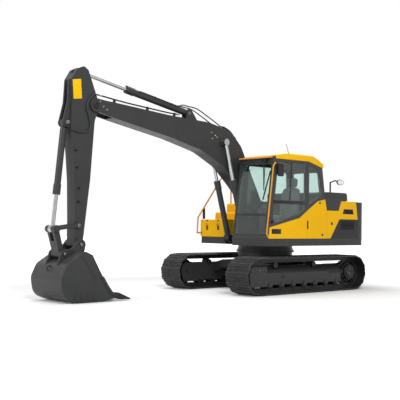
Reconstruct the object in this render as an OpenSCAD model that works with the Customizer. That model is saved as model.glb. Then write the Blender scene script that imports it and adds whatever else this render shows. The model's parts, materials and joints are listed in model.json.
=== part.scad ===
// Crawler excavator of about fourteen tonnes: two tracks, a slewing upper frame with cab and
// counterweight, and a boom, arm and bucket moved by hydraulic cylinders.
// Millimetres, +X forward, +Y left, +Z up, ground at z = 0.

/* [Tracks] */
// Distance between the centre lines of the two tracks
track_gauge = 1990; // [1900:10:2060]
// Width of a track shoe
shoe_w = 600; // [540:10:620]
// Distance between the idler axle and the sprocket axle
tumbler_len = 2990; // [2900:10:3050]
// Radius of the path of the link pins around idler and sprocket
path_r = 303; // [290:1:315]
// Number of shoes in one track
shoe_count = 46; // [44:1:48]
// Height of a grouser above its shoe
grouser_h = 24; // [16:1:28]
// Thickness of a shoe plate
shoe_t = 10; // [8:1:14]
// Distance from the link pins out to the shoe plate
link_out = 38; // [32:1:44]
// Distance from the link pins in to the tread of the links
link_in = 48; // [42:1:52]
// Width of one row of links
link_w = 40; // [30:1:46]
// Gap between the two rows of links
link_gap = 70; // [60:1:80]

/* [Track frames] */
// Half width of a track frame
frame_half_w = 135; // [125:1:150]
// Thickness of a track frame's side walls
frame_wall = 30; // [20:1:36]
// Height of the bottom edge of the frame's side walls
frame_low_z = 190; // [170:5:200]
// Height of the top of a track frame
frame_top_z = 560; // [540:5:565]
// Number of bottom rollers on one side
roller_count = 7; // [5:1:7]
// Tread radius of a bottom roller
roller_r = 75; // [65:1:80]
// Distance between bottom rollers
roller_step = 345; // [320:5:350]
// Tread radius of a carrier roller
carrier_r = 58; // [50:1:58]
// Radius of the drive hub's cover
hub_r = 165; // [140:1:190]
// Number of teeth on a sprocket
tooth_count = 22; // [20:1:24]

/* [Lower frame] */
// Ground clearance under the lower frame
clearance_z = 450; // [430:5:460]
// Height of the top plate of the lower frame
carbody_top_z = 625; // [600:5:660]
// Radius of the tower under the swing bearing
tower_r = 585; // [560:5:600]
// Height of the swing bearing's underside
bearing_z = 800; // [780:5:810]
// Outer radius of the swing bearing
bearing_r = 625; // [610:5:640]
// Height of the swing bearing's fixed ring
bearing_h = 80; // [70:1:90]
// Radius of the hole in a towing eye
tow_hole_r = 32; // [25:1:36]

/* [Upper frame] */
// Height of the underside of the deck
deck_low_z = 960; // [950:5:990]
// Height of the deck
deck_z = 1110; // [1090:5:1130]
// Half width of the upper structure
upper_half_w = 1245; // [1220:5:1270]
// Radius of the tail around the swing axis
tail_r = 2190; // [2120:10:2250]
// Front face of the counterweight behind the swing axis
tail_front = 1620; // [1590:5:1640]
// Height of the counterweight's top
tail_top_z = 1900; // [1870:5:1905]
// Height of the underside of the engine hood
hood_z = 1872; // [1860:1:1880]
// Height of the raised top of the engine hood
hood_top_z = 2085; // [2040:5:2110]
// Front wall of the engine bay behind the swing axis
bay_front = 520; // [510:5:530]
// Thickness of side doors and walls
panel_t = 40; // [30:1:46]
// Height of the hydraulic tank
tank_z = 1860; // [1820:5:1865]
// Height of the fuel tank
fuel_z = 1650; // [1600:5:1700]
// Height of the tool box with its lid
toolbox_z = 1483; // [1440:5:1500]
// Front face of the tool box
toolbox_front = 770; // [740:5:780]
// Radius of the hand rails
rail_r = 17; // [14:1:20]

/* [Cab] */
// Inner side of the cab
cab_in_y = 322; // [320:1:340]
// Front of the cab at the floor
cab_front = 1310; // [1280:5:1330]
// Front of the cab at the roof
cab_front_top = 1105; // [1080:5:1140]
// Rear of the cab at the floor
cab_rear = 490; // [480:5:495]
// Rear of the cab at the roof
cab_rear_top = 385; // [370:5:420]
// Height of the underside of the cab roof
cab_top_z = 2690; // [2660:5:2720]
// Height of the cab's crown
cab_crown_z = 2838; // [2810:1:2860]
// Thickness of the cab walls
cab_t = 45; // [38:1:50]
// Depth of the front pillars
pillar_d = 76; // [70:1:84]
// Rear edge of the door
door_rear = 90; // [80:5:110]
// Gap around the door
door_gap = 6; // [5:0.5:8]
// Thickness of the glass
glass_t = 6; // [5:0.5:7]
// Opening inside a window's rebate
rebate_w = 14; // [10:1:18]

/* [Working arm] */
// Width of the boom
boom_w = 320; // [300:2:320]
// Width of the arm
arm_w = 240; // [220:2:240]
// Radius of the bosses at the boom's ends
boom_boss_r = 118; // [110:1:126]
// Radius of the boom's pins
boom_pin_r = 42; // [36:1:48]
// Radius of the small pins
link_pin_r = 32; // [28:1:36]
// Running clearance of a pin in its bore
pin_fit = 0.05; // [0.02:0.01:0.1]
// Side clearance between eyes and lugs
side_gap = 1.5; // [1:0.5:2]
// Width of a cylinder's eye
eye_w = 90; // [80:1:92]
// Radius of a cylinder's eye
eye_r = 70; // [66:1:74]
// Thickness of the lugs around an eye
lug_t = 30; // [24:1:32]
// Distance of the boom cylinders from the middle
boom_cyl_y = 240; // [238:1:242]
// Radius of a boom cylinder's barrel
boom_cyl_r = 60; // [54:1:62]
// Radius of a boom cylinder's rod
boom_rod_r = 36; // [32:1:40]
// Radius of the arm cylinder's barrel
arm_cyl_r = 66; // [60:1:70]
// Radius of the arm cylinder's rod
arm_rod_r = 40; // [36:1:42]
// Radius of the bucket cylinder's barrel
bucket_cyl_r = 58; // [52:1:62]
// Radius of the bucket cylinder's rod
bucket_rod_r = 34; // [30:1:38]

/* [Bucket] */
// Width of the bucket over its side plates
bucket_w = 1000; // [800:10:1100]
// Thickness of the bucket's side plates
bucket_side_t = 20; // [16:1:24]
// Thickness of the bucket's back and floor
bucket_wall = 24; // [18:1:28]
// Thickness of the bucket's ears
ear_t = 40; // [32:1:44]
// Number of bucket teeth
bucket_teeth = 5; // [4:1:6]
// Width of a bucket tooth
bucket_tooth_w = 76; // [60:1:90]

/* [Hidden] */

// The middle of the whole length, ahead of the swing axis
origin_x = 1620;
// Seat clearance of pieces that lie on one another
seat = 0.3;
round_fn = 64;
charcoal = [0.27, 0.28, 0.29];
black = [0.13, 0.13, 0.14];
yellow = [0.95, 0.71, 0.05];
steel = [0.75, 0.76, 0.78];
orange = [0.80, 0.42, 0.12];
teal = [0.35, 0.55, 0.56, 0.5];

// Pins of the working arm in the plane of the boom: x, z
boom_foot = [320, 1650];
boom_tip = [4560, 3458];
boom_cyl_foot = [880, 1090];
boom_cyl_eye = [1460, 3040];
arm_cyl_foot = [2290, 3565];
arm_cyl_eye = [4790, 4035];
bucket_cyl_foot = [5120, 3105];
idler_foot = [4870, 1322];
link_top = [5315, 1258];
link_low = [5190, 822];
bucket_hinge = [4862, 988];

// Height of the track's axles
axle_z = path_r + link_out + shoe_t + grouser_h;
track_y = track_gauge / 2;
half_run = tumbler_len / 2;
arc_len = PI * path_r;
path_len = 2 * tumbler_len + 2 * arc_len;
link_pitch = path_len / shoe_count;
// Nearest the links come to the axle on a bend
bend_r = path_r * cos(link_pitch / path_r * 90 / PI) - link_in;
tread_z = axle_z - path_r + link_in;
tread_top_z = axle_z + path_r - link_in;

// Half widths in the layers of the bucket linkage
eye_half = eye_w / 2;
arm_half = arm_w / 2;
boom_half = boom_w / 2;
link_half = arm_half - 4;
idler_in = arm_half + side_gap;
idler_t = 28;
idler_boss = 12;
ear_in = idler_in + idler_t + idler_boss + 6;
tip_half = ear_in - side_gap;
lug_in = eye_half + side_gap;
lug_out = lug_in + lug_t;

function unit(v) = v / norm(v);
function left_of(v) = [-v[1], v[0]];
function xz(row) = [row[0], row[1]];
function heading(v) = atan2(v[1], v[0]);

// Corner b between a and c, rounded by an arc of radius r in n steps
function corner(a, b, c, r, n) =
    r <= 0 ? [b] :
    let(u = unit(a - b), v = unit(c - b), half = acos(u * v) / 2)
    let(o = b + unit(u + v) * r / sin(half))
    let(p = b + u * r / tan(half) - o, q = b + v * r / tan(half) - o)
    let(start = heading(p), sweep = (heading(q) - start + 540) % 360 - 180)
    [for (i = [0:n]) o + r * [cos(start + sweep * i / n), sin(start + sweep * i / n)]];

// Outline from rows of x, z and corner radius
function rounded(rows, n = 5) =
    let(k = len(rows))
    [for (i = [0:k - 1])
        each corner(xz(rows[(i + k - 1) % k]), xz(rows[i]), xz(rows[(i + 1) % k]), rows[i][2], n)];

// Rows moved inward by d, for an outline that runs anticlockwise
function inset(rows, d) =
    let(k = len(rows))
    [for (i = [0:k - 1])
        let(b = xz(rows[i]))
        let(n1 = left_of(unit(b - xz(rows[(i + k - 1) % k]))))
        let(n2 = left_of(unit(xz(rows[(i + 1) % k]) - b)))
        let(p = b + (n1 + n2) * d / (1 + n1 * n2))
        [p[0], p[1], max(0, rows[i][2] - d)]];

// Point on the line from a to b at height z
function at_z(a, b, z) = [a[0] + (b[0] - a[0]) * (z - a[1]) / (b[1] - a[1]), z];

module in_frame() { translate([-origin_x, 0, 0]) children(); }

// Side profile in x and z, extruded between two values of y
module side(y0, y1) {
    translate([0, y1, 0]) rotate([90, 0, 0]) linear_extrude(y1 - y0) children();
}

// Cross profile in y and z, extruded between two values of x
module cross(x0, x1) {
    translate([x0, 0, 0]) rotate([90, 0, 90]) linear_extrude(x1 - x0) children();
}

// Plan in x and y, extruded between two heights
module plan(z0, z1) {
    translate([0, 0, z0]) linear_extrude(z1 - z0) children();
}

module block(x0, x1, y0, y1, z0, z1) {
    translate([x0, y0, z0]) cube([x1 - x0, y1 - y0, z1 - z0]);
}

module both_sides() {
    children();
    mirror([0, 1, 0]) children();
}

module round_y(p, r, y0, y1) {
    translate([p[0], y1, p[1]]) rotate([90, 0, 0]) cylinder(r = r, h = y1 - y0, $fn = round_fn);
}

module disc(p, r) { translate(p) circle(r = r, $fn = round_fn); }

// Bent tube through points, with round elbows a little thicker than the tube
elbow_over = 0.8;
module tube(points, r) {
    for (i = [0:len(points) - 2]) {
        let(d = points[i + 1] - points[i])
        translate(points[i])
            rotate([0, acos(d[2] / norm(d)), atan2(d[1], d[0])])
                cylinder(r = r, h = norm(d), $fn = 24);
    }
    for (i = [1:1:len(points) - 2]) {
        translate(points[i]) sphere(r = r + elbow_over, $fn = 24);
    }
}

// Point of the track's path at a distance along it, from the axles' middle
function path_at(s0) =
    let(s = s0 - floor(s0 / path_len) * path_len)
    s < tumbler_len ? [s - half_run, path_r] :
    s < tumbler_len + arc_len ?
        let(a = 90 - (s - tumbler_len) / path_r * 180 / PI)
        [half_run + path_r * cos(a), path_r * sin(a)] :
    s < 2 * tumbler_len + arc_len ? [half_run - (s - tumbler_len - arc_len), -path_r] :
        let(a = 270 - (s - 2 * tumbler_len - arc_len) / path_r * 180 / PI)
        [path_r * cos(a) - half_run, path_r * sin(a)];

// Outline of one shoe: share of the pitch along it, share of the grouser's height
shoe_rows = [
    [-0.5, 0], [-0.43, 1], [-0.36, 0.1], [-0.07, 0.1],
    [0, 1], [0.07, 0.1], [0.36, 0.1], [0.43, 1]
];
// Inner outline of one link: share of the pitch along it, share of the link's depth
link_rows = [[-0.47, 0.7], [-0.38, 1], [0.38, 1]];

pins = [for (i = [0:shoe_count]) path_at(i * link_pitch)];
dirs = [for (i = [0:shoe_count - 1]) unit(pins[i + 1] - pins[i])];
function out_at(i) = unit(left_of(dirs[i]) + left_of(dirs[(i + shoe_count - 1) % shoe_count]));
function bends(i) = norm(dirs[i] - dirs[(i + shoe_count - 1) % shoe_count]) > 0.001;

// Loop through the link pins moved outward by d, with the straight runs left plain
function pin_loop(d) = [for (i = [0:shoe_count - 1]) if (bends(i)) pins[i] + out_at(i) * d];

function shoe_loop() =
    [for (i = [0:shoe_count - 1], row = shoe_rows)
        (pins[i] + pins[i + 1]) / 2 + dirs[i] * row[0] * norm(pins[i + 1] - pins[i])
            + left_of(dirs[i]) * (link_out + shoe_t + row[1] * grouser_h)];

function tread_loop() =
    [for (i = [0:shoe_count - 1], row = link_rows)
        (pins[i] + pins[i + 1]) / 2 + dirs[i] * row[0] * norm(pins[i + 1] - pins[i])
            - left_of(dirs[i]) * link_in * row[1]];

// One track around its own middle line: shoes with grousers, and two rows of links
module track() {
    translate([0, 0, axle_z]) {
        side(-shoe_w / 2, shoe_w / 2) difference() {
            polygon(shoe_loop());
            polygon(pin_loop(link_out));
        }
        both_sides() side(link_gap / 2, link_gap / 2 + link_w) difference() {
            polygon(pin_loop(link_out + shoe_t / 2));
            polygon(tread_loop());
        }
    }
}

module track_left() { color(charcoal) translate([0, track_y, 0]) track(); }
module track_right() { color(charcoal) translate([0, -track_y, 0]) track(); }

// Track frame on the left, an upside-down channel with idler plates and a rear bracket
axle_r = 45;
bracket_t = 30;
idler_plate_in = frame_half_w - frame_wall;
frame_front = half_run - bend_r - 55;
frame_rear = half_run - hub_r - 150;
channel_z = frame_low_z + 120;
frame_slope = 140;
roller_z = tread_z + seat + roller_r;
roller_cap_r = 52;
roller_cap_t = 14;
carrier_xs = [820, -360];
carrier_z = tread_top_z - seat - carrier_r;
pocket_gap = 14;
pocket_z = carrier_z - carrier_r - pocket_gap;
function roller_x(i) = (i - (roller_count - 1) / 2) * roller_step;
guard_rows = [
    [frame_front - 60, frame_low_z - 30, 0], [half_run + 90, frame_low_z - 30, 60],
    [half_run + 150, axle_z, 60], [half_run + 110, frame_top_z, 90], [frame_front - 60, frame_top_z, 0]
];
guard_plate = [half_run - 360, half_run + 130];
hub_in = frame_half_w + 25;

module track_frame() {
    difference() {
        union() {
            cross(-frame_rear, frame_front) polygon([
                [-frame_half_w, frame_low_z], [-idler_plate_in, frame_low_z],
                [-idler_plate_in, channel_z], [idler_plate_in, channel_z],
                [idler_plate_in, frame_low_z], [frame_half_w, frame_low_z],
                [frame_half_w, frame_top_z - frame_slope], [20, frame_top_z],
                [-frame_half_w, frame_top_z]
            ]);
            both_sides() side(idler_plate_in, frame_half_w) polygon(rounded(guard_rows));
            side(-hub_in - bracket_t, -hub_in) {
                disc([-half_run, axle_z], hub_r + 30);
                polygon([
                    [-half_run, axle_z - hub_r - 20], [-frame_rear + 200, frame_low_z],
                    [-frame_rear + 200, frame_top_z], [-half_run, axle_z + hub_r + 20]
                ]);
            }
            block(-frame_rear, -frame_rear + 200, -hub_in - bracket_t, -frame_half_w + 1,
                frame_low_z, frame_top_z);
            block(guard_plate[0], guard_plate[1], frame_half_w - 1, frame_half_w + 12,
                frame_low_z - 30, axle_z + 80);
            for (i = [0:roller_count - 1]) {
                both_sides() round_y([roller_x(i), roller_z], roller_cap_r, frame_half_w - 1,
                    frame_half_w + roller_cap_t);
            }
        }
        for (x = carrier_xs) {
            block(x - carrier_r - pocket_gap, x + carrier_r + pocket_gap, -frame_half_w - 1,
                frame_half_w + 1, pocket_z, frame_top_z + 1);
        }
        round_y([half_run, axle_z], axle_r + pin_fit, -frame_half_w - 1, frame_half_w + 1);
    }
}

module track_frame_left() { color(charcoal) translate([0, track_y, 0]) track_frame(); }
module track_frame_right() { color(charcoal) mirror([0, 1, 0]) translate([0, track_y, 0]) track_frame(); }

// Idler with a flange between the rows of links, on its axle
module idler() {
    flange_half = link_gap / 2 - 5;
    rim_half = link_gap / 2 + link_w;
    round_y([half_run, axle_z], bend_r - seat, -rim_half, rim_half);
    round_y([half_run, axle_z], bend_r + 22, -flange_half, flange_half);
    round_y([half_run, axle_z], axle_r + 40, 1 - idler_plate_in, idler_plate_in - 1);
    round_y([half_run, axle_z], axle_r, -frame_half_w, frame_half_w);
}

module front_idlers() { color(black) both_sides() translate([0, track_y, 0]) idler(); }

// Sprocket with its teeth between the rows of links, fused to the drive hub
module sprocket() {
    root_r = path_r - 40;
    tip_r = path_r + 6;
    tooth = 360 / tooth_count;
    half_t = link_gap / 2 - 12;
    translate([-half_run, 0, axle_z]) {
        side(-half_t, half_t) polygon([
            for (i = [0:tooth_count - 1])
                for (row = [[-0.36, root_r], [-0.12, tip_r], [0.12, tip_r], [0.36, root_r]])
                row[1] * [cos((i + row[0]) * tooth), sin((i + row[0]) * tooth)]
        ]);
        round_y([0, 0], hub_r, -hub_in, 0);
        round_y([0, 0], hub_r + 30, half_t - 1, half_t + 40);
        round_y([0, 0], hub_r, half_t + 39, half_t + 110);
        round_y([0, 0], hub_r - 40, half_t + 109, half_t + 135);
    }
}

module drive_sprockets() { color(charcoal) both_sides() translate([0, track_y, 0]) sprocket(); }

// Bottom rollers with flanges outside the links, on shafts that end at the frame's walls
module roller() {
    flange_in = link_gap / 2 + link_w + 3;
    round_y([0, roller_z], roller_r, -flange_in, flange_in);
    both_sides() round_y([0, roller_z], roller_r + 16, flange_in - 1, flange_in + 12);
    round_y([0, roller_z], 34, seat - idler_plate_in, idler_plate_in - seat);
}

module bottom_rollers() {
    color(black) both_sides() translate([0, track_y, 0])
        for (i = [0:roller_count - 1]) {
            translate([roller_x(i), 0, 0]) roller();
        }
}

// Carrier rollers on posts that stand in pockets of the frames
module carrier() {
    post_y = frame_half_w - 5;
    round_y([0, carrier_z], carrier_r, -link_gap / 2 - link_w, link_gap / 2 + link_w);
    round_y([0, carrier_z], 26, -post_y, 0);
    block(-36, 36, -post_y, -post_y + 40, pocket_z, carrier_z + 30);
}

module carrier_rollers() {
    color(black) both_sides() translate([0, track_y, 0])
        for (x = carrier_xs) {
            translate([x, 0, 0]) carrier();
        }
}

// Lower frame: two sloping legs each way, a tower, and a towing eye at either end
leg_in = 380;
leg_out = 720;
leg_y = track_y - frame_half_w;
leg_knee = 580;
tow_x = leg_out + 75;
tow_r = 75;
tow_t = 40;
tow_z = clearance_z + 60;
module car_body() {
    color(charcoal) difference() {
        union() {
            for (x = [-leg_out, leg_in]) {
                cross(x, x + leg_out - leg_in) polygon([
                    [-leg_y, clearance_z - 110], [-leg_y, frame_top_z - 10], [-leg_knee, carbody_top_z],
                    [leg_knee, carbody_top_z], [leg_y, frame_top_z - 10], [leg_y, clearance_z - 110],
                    [leg_knee, clearance_z], [-leg_knee, clearance_z]
                ]);
            }
            block(-leg_in - 1, leg_in + 1, -leg_knee, leg_knee, clearance_z, carbody_top_z);
            translate([0, 0, carbody_top_z - 1])
                cylinder(r = tower_r, h = bearing_z - carbody_top_z + 1, $fn = round_fn);
            for (way = [-1, 1]) {
                plan(tow_z, tow_z + tow_t) {
                    disc([way * tow_x, 0], tow_r);
                    translate([way * (leg_out + tow_x) / 2 - tow_r / 2, -tow_r]) square([tow_r, 2 * tow_r]);
                }
            }
        }
        for (way = [-1, 1]) {
            translate([way * tow_x, 0, tow_z - 1]) cylinder(r = tow_hole_r, h = tow_t + 2, $fn = 48);
        }
    }
}

bearing_top_z = bearing_z + bearing_h;
bearing_in_r = 470;
module swing_bearing() {
    color(black) translate([0, 0, bearing_z]) difference() {
        union() {
            cylinder(r = bearing_r, h = bearing_h * 0.4, $fn = round_fn);
            cylinder(r = bearing_r - 25, h = bearing_h, $fn = round_fn);
        }
        translate([0, 0, -1]) cylinder(r = bearing_in_r, h = bearing_h + 2, $fn = round_fn);
    }
}

// Deck with the cab's base ahead on the left, brackets for the boom and lugs for its cylinders
bracket_in = boom_half + side_gap;
bracket_side_t = 40;
deck_mid = boom_cyl_foot[0] - eye_r - 35;
bracket_rows = [
    [-330, deck_z - 1, 0], [690, deck_z - 1, 0], [boom_foot[0] + 120, boom_foot[1] + 20, 90],
    [boom_foot[0] + 20, boom_foot[1] + 130, 110], [boom_foot[0] - 120, boom_foot[1] + 60, 110],
    [-330, deck_z + 160, 60]
];
ring_h = deck_low_z - bearing_top_z - seat + 1;
deck_rows = [
    [-tail_front, -upper_half_w, 0], [toolbox_front, -upper_half_w, 50], [toolbox_front, -420, 0],
    [deck_mid, -400, 0], [deck_mid, cab_in_y - 8, 0], [cab_front, cab_in_y - 8, 0],
    [cab_front, upper_half_w, 50], [-tail_front, upper_half_w, 0]
];
module platform() {
    color(charcoal) difference() {
        union() {
            plan(deck_low_z, deck_z) polygon(rounded(deck_rows));
            translate([0, 0, bearing_top_z + seat]) difference() {
                cylinder(r = bearing_r - 40, h = ring_h, $fn = round_fn);
                translate([0, 0, -1]) cylinder(r = bearing_in_r, h = ring_h, $fn = round_fn);
            }
            both_sides() side(bracket_in, bracket_in + bracket_side_t) polygon(rounded(bracket_rows));
            both_sides() for (y = [boom_cyl_y - lug_out, boom_cyl_y + lug_in]) {
                side(y, y + lug_t) {
                    disc(boom_cyl_foot, eye_r + 8);
                    polygon([
                        [deck_mid - 1, deck_low_z], [boom_cyl_foot[0] + 20, deck_low_z + 20],
                        boom_cyl_foot + [eye_r, 0], boom_cyl_foot + [0, eye_r + 8], [deck_mid - 1, deck_z]
                    ]);
                }
            }
        }
        round_y(boom_foot, boom_pin_r + pin_fit, -boom_w, boom_w);
        round_y(boom_cyl_foot, link_pin_r + pin_fit, -boom_cyl_y - lug_out - 1, boom_cyl_y + lug_out + 1);
    }
}

foot_pin_half = bracket_in + bracket_side_t + 8;
module platform_pins() {
    color(steel) {
        round_y(boom_foot, boom_pin_r, -foot_pin_half, foot_pin_half);
        both_sides() round_y(boom_cyl_foot, link_pin_r, boom_cyl_y - lug_out + 2, boom_cyl_y + lug_out - 2);
    }
}

// Counterweight, round at the tail and its corners, with lifting holes in its top
lift_hole_r = 25;
lift_hole_depth = 100;
lift_hole = [-tail_front - 230, 450];
tail_flat = 330;
tail_turn = 30;
tail_lean = 66;
tail_rows = [
    [-tail_front, deck_low_z, 0], [-tail_front, tail_top_z, 0], [-tail_front - tail_flat, tail_top_z, 0],
    [-tail_r - 5, tail_top_z - 45, 130], [-tail_r - 5, deck_low_z + 20, 110], [-tail_r + 180, deck_low_z, 60]
];
// Line that touches the tail's circle, at a distance y from the middle
function tail_tangent(y) = [-(tail_r - y * sin(tail_turn)) / cos(tail_turn), y];
tail_corner = tail_tangent(upper_half_w);
tail_far = tail_tangent(200);
tail_plan = [
    [-tail_front, -upper_half_w, 0], [tail_corner[0], -tail_corner[1], 200], [tail_far[0], -tail_far[1], 0],
    [tail_far[0], tail_far[1], 0], [tail_corner[0], tail_corner[1], 200], [-tail_front, upper_half_w, 0]
];
tail_cross = [
    [-upper_half_w, deck_low_z - 1, 0], [upper_half_w, deck_low_z - 1, 0],
    [upper_half_w, tail_top_z, 25], [-upper_half_w, tail_top_z, 25]
];
module counterweight() {
    color(charcoal) {
        difference() {
            intersection() {
                side(-upper_half_w, upper_half_w) polygon(rounded(tail_rows));
                translate([0, 0, deck_low_z - 1]) cylinder(r = tail_r, h = tail_top_z, $fn = round_fn);
                plan(deck_low_z - 1, tail_top_z + 1) polygon(rounded(tail_plan, 8));
                cross(-tail_r - 10, 1 - tail_front) polygon(rounded(tail_cross));
            }
            both_sides() translate([lift_hole[0], lift_hole[1], tail_top_z - lift_hole_depth])
                cylinder(r = lift_hole_r, h = lift_hole_depth + 1, $fn = 32);
        }
        both_sides() side(service_in, upper_half_w) polygon([
            [-tail_front - 1, grille_z + 6], [-tail_front, grille_z + 6],
            [tail_lean - tail_front - 2, hood_z - 5], [-tail_front - 1, hood_z - 5]
        ]);
    }
}

engine_w = 980;
engine_h = 640;
engine_gap = 160;
module engine_block() {
    color(black) block(engine_gap - tail_front, -bay_front - engine_gap - 80, -engine_w / 2, engine_w / 2,
        deck_z, deck_z + engine_h);
}

bulkhead_half = upper_half_w - panel_t - 10;
module engine_bulkhead() {
    color(charcoal) block(-bay_front - panel_t, -bay_front, -bulkhead_half, bulkhead_half,
        deck_z, hood_z - seat);
}

// Side doors of the engine bay; the left one has a dark grille in its lower rear corner
seam_x = -cab_rear - 65;
right_front = -bay_front - 8;
service_rear = -tail_front + 8;
service_low = deck_z + seat;
service_top = hood_z - 5;
hood_t = 36;
left_top = hood_z + hood_t - 2;
grille_foot = seam_x - 125;
grille_knee = seam_x - 420;
grille_z = 1522;
flap_rear = seam_x - 390;
flap_lean = 84;
flap_z = 1704;
service_in = upper_half_w - panel_t;
vent_rows = [[-1468, 1632, 12], [-1079, 1632, 12], [-1126, 1740, 12], [-1441, 1740, 12]];
slit_h = 12;
slit_step = 26;
module left_service_door() {
    color(yellow) side(service_in, upper_half_w) difference() {
        polygon([
            [seam_x, service_low], [seam_x, flap_z - 6], [flap_rear - 6, flap_z - 6],
            [flap_rear - flap_lean - 7, left_top], [service_rear + tail_lean, left_top],
            [service_rear, grille_z], [grille_knee, grille_z], [grille_foot, service_low]
        ]);
        polygon(rounded(vent_rows));
    }
}

module slits(x0, x1, z0, n) {
    for (i = [0:n - 1]) {
        translate([x0, z0 + i * slit_step]) square([x1 - x0, slit_h]);
    }
}

// Black vent set into the left door
module door_vent() {
    color(black) side(service_in, upper_half_w) difference() {
        polygon(rounded(inset(vent_rows, seat)));
        slits(-1420, -1150, 1651, 3);
    }
}

module left_grille() {
    color(black) side(service_in, upper_half_w) difference() {
        polygon([
            [grille_foot, service_low], [grille_knee, grille_z],
            [service_rear, grille_z], [service_rear, service_low]
        ]);
        slits(-1484, -1013, 1306, 7);
    }
}

module right_service_door() {
    color(yellow) side(-upper_half_w, -service_in) polygon([
        [right_front, service_low], [right_front, service_top], [service_rear + tail_lean, service_top],
        [service_rear, grille_z], [service_rear, service_low]
    ]);
}

// Hood over the engine, with a raised box above the left side and a panel that hangs from it
hood_box_rear = -1245;
hood_box_in = -420;
hood_front = -cab_rear - 8;
box_low_z = hood_z + hood_t + 6;
hood_rows = [
    [hood_box_rear, hood_z, 0], [hood_front, hood_z, 0],
    [hood_front, hood_top_z, 40], [hood_box_rear + 24, hood_top_z, 60]
];
hollow_hood_rows = [
    [hood_box_rear + hood_t, hood_z - 1, 0], [hood_front - 2 * hood_t, hood_z - 1, 0],
    [hood_front - hood_t, hood_top_z - hood_t, 10], [hood_box_rear + 24 + hood_t, hood_top_z - hood_t, 20]
];
module engine_hood() {
    color(charcoal) difference() {
        union() {
            block(service_rear, hood_front, -upper_half_w, upper_half_w, hood_z, hood_z + hood_t);
            side(hood_box_in, upper_half_w) polygon(rounded(hood_rows));
        }
        side(hood_box_in + hood_t, service_in) polygon(rounded(hollow_hood_rows));
        block(service_rear - 1, hood_front + 1, service_in - 5, upper_half_w + 1, hood_z - 1, box_low_z);
    }
}

module hood_side_panel() {
    color(charcoal) side(service_in, upper_half_w) polygon([
        [seam_x, flap_z], [hood_front - 5, box_low_z],
        [flap_rear - flap_lean, box_low_z], [flap_rear, flap_z]
    ]);
}

// Oval mirror on a post that stands on the hood's box
// Distance of the mirror's arm inside the left side
mirror_in = 95;
mirror_y = upper_half_w - mirror_in;
mirror_at = [-1111, 2317];
mirror_post_x = -770;
mirror_knee = [mirror_post_x, 2300];
mirror_bend = [-928, 2347];
mirror_arm_r = 11;
module rear_mirror() {
    color(black) side(mirror_y - 12, mirror_y + 12) {
        polygon(link_rows_of([mirror_post_x, hood_top_z + seat], mirror_knee, mirror_arm_r));
        disc(mirror_knee, mirror_arm_r + 1);
        polygon(link_rows_of(mirror_knee, mirror_bend, mirror_arm_r));
        disc(mirror_bend, mirror_arm_r + 1);
        polygon(link_rows_of(mirror_bend, mirror_at, mirror_arm_r));
        polygon([for (a = [0:12:348]) mirror_at + [118 * cos(a), 60 * sin(a)]]);
    }
}

// Tanks and tool box step down to the front on the right
tank_in = -430;
tank_front = -30;
fuel_front = 326;
module hydraulic_tank() {
    color(yellow) side(-upper_half_w, tank_in) polygon(rounded([
        [-bay_front, deck_z, 0], [tank_front, deck_z, 0], [tank_front, tank_z, 50], [-bay_front, tank_z, 20]
    ]));
}

module fuel_tank() {
    color(yellow) side(-upper_half_w, tank_in) polygon(rounded([
        [tank_front, deck_z, 0], [fuel_front, deck_z, 0], [fuel_front, fuel_z, 50], [tank_front, fuel_z, 0]
    ]));
}

toolbox_rear = fuel_front + 6;
lid_t = 36;
toolbox_wall = 20;
toolbox_in = -440;
module toolbox() {
    color(yellow) difference() {
        block(toolbox_rear, toolbox_front, -upper_half_w, toolbox_in, deck_z, toolbox_z - lid_t - seat);
        block(toolbox_rear + toolbox_wall, toolbox_front - toolbox_wall, toolbox_wall - upper_half_w,
            toolbox_in - toolbox_wall, deck_z + toolbox_wall, toolbox_z);
    }
}

module toolbox_lid() {
    color(yellow) side(-upper_half_w, toolbox_in) polygon(rounded([
        [toolbox_rear, toolbox_z - lid_t, 0], [toolbox_front, toolbox_z - lid_t, 0],
        [toolbox_front, toolbox_z, 25], [toolbox_rear, toolbox_z, 0]
    ]));
}

// Hand rail from the tool box's front up over its lid to the tank
rail_y = -upper_half_w + 40;
rail_foot_z = 1190;
rail_knee = [889, 1523];
rail_bend = [190, 2429];
rail_top_z = 2445;
rail_drop_z = 2390;
rail_end_x = 120;
module hand_rails() {
    color(orange) tube([
        [toolbox_front + seat, rail_y, rail_foot_z], [rail_knee[0] + 16, rail_y, rail_foot_z],
        [rail_knee[0], rail_y, rail_knee[1]], [rail_bend[0], rail_y, rail_bend[1]],
        [-50, rail_y, rail_top_z], [5 - rail_end_x, rail_y, rail_drop_z], [-rail_end_x, rail_y, tank_z + seat]
    ], rail_r);
}

// Cab: outlines in the side view
cab_low_z = deck_z;
floor_t = 40;
cab_out_y = upper_half_w;
front_low = [cab_front, cab_low_z];
front_high = [cab_front_top, cab_top_z];
pillar = [pillar_d, 0];
rear_mid_z = 1950;
// The roof drops behind its break down to the cab's rear
roof_break = [60, cab_top_z];
roof_rear = [-cab_rear_top, cab_top_z - 112];
wall_rows = [
    [-cab_rear, cab_low_z, 0], [cab_front - pillar_d, cab_low_z, 0],
    [cab_front_top - pillar_d, cab_top_z, 0], [roof_break[0], roof_break[1], 0],
    [roof_rear[0], roof_rear[1], 0], [-cab_rear, rear_mid_z, 0]
];
// Belt line between the yellow panels and the dark window frames: x, z
belt = [[1206, 1328], [318, 1525], [66, 1690], [-250, 1880], [-cab_rear, 1928]];
door_low_z = deck_z + seat;
door_high_z = cab_top_z - door_gap;
frame_rim = 52;
function door_front(z) = at_z(front_low - pillar, front_high - pillar, z)[0] - door_gap;

module window(rows, y0, y1, outer) {
    side(y0 - 1, y1 + 1) polygon(rounded(inset(rows, rebate_w)));
    side(outer > 0 ? y1 - glass_t - 2 : y0 - 1, outer > 0 ? y1 + 1 : y0 + glass_t + 2) polygon(rounded(rows));
}

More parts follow.
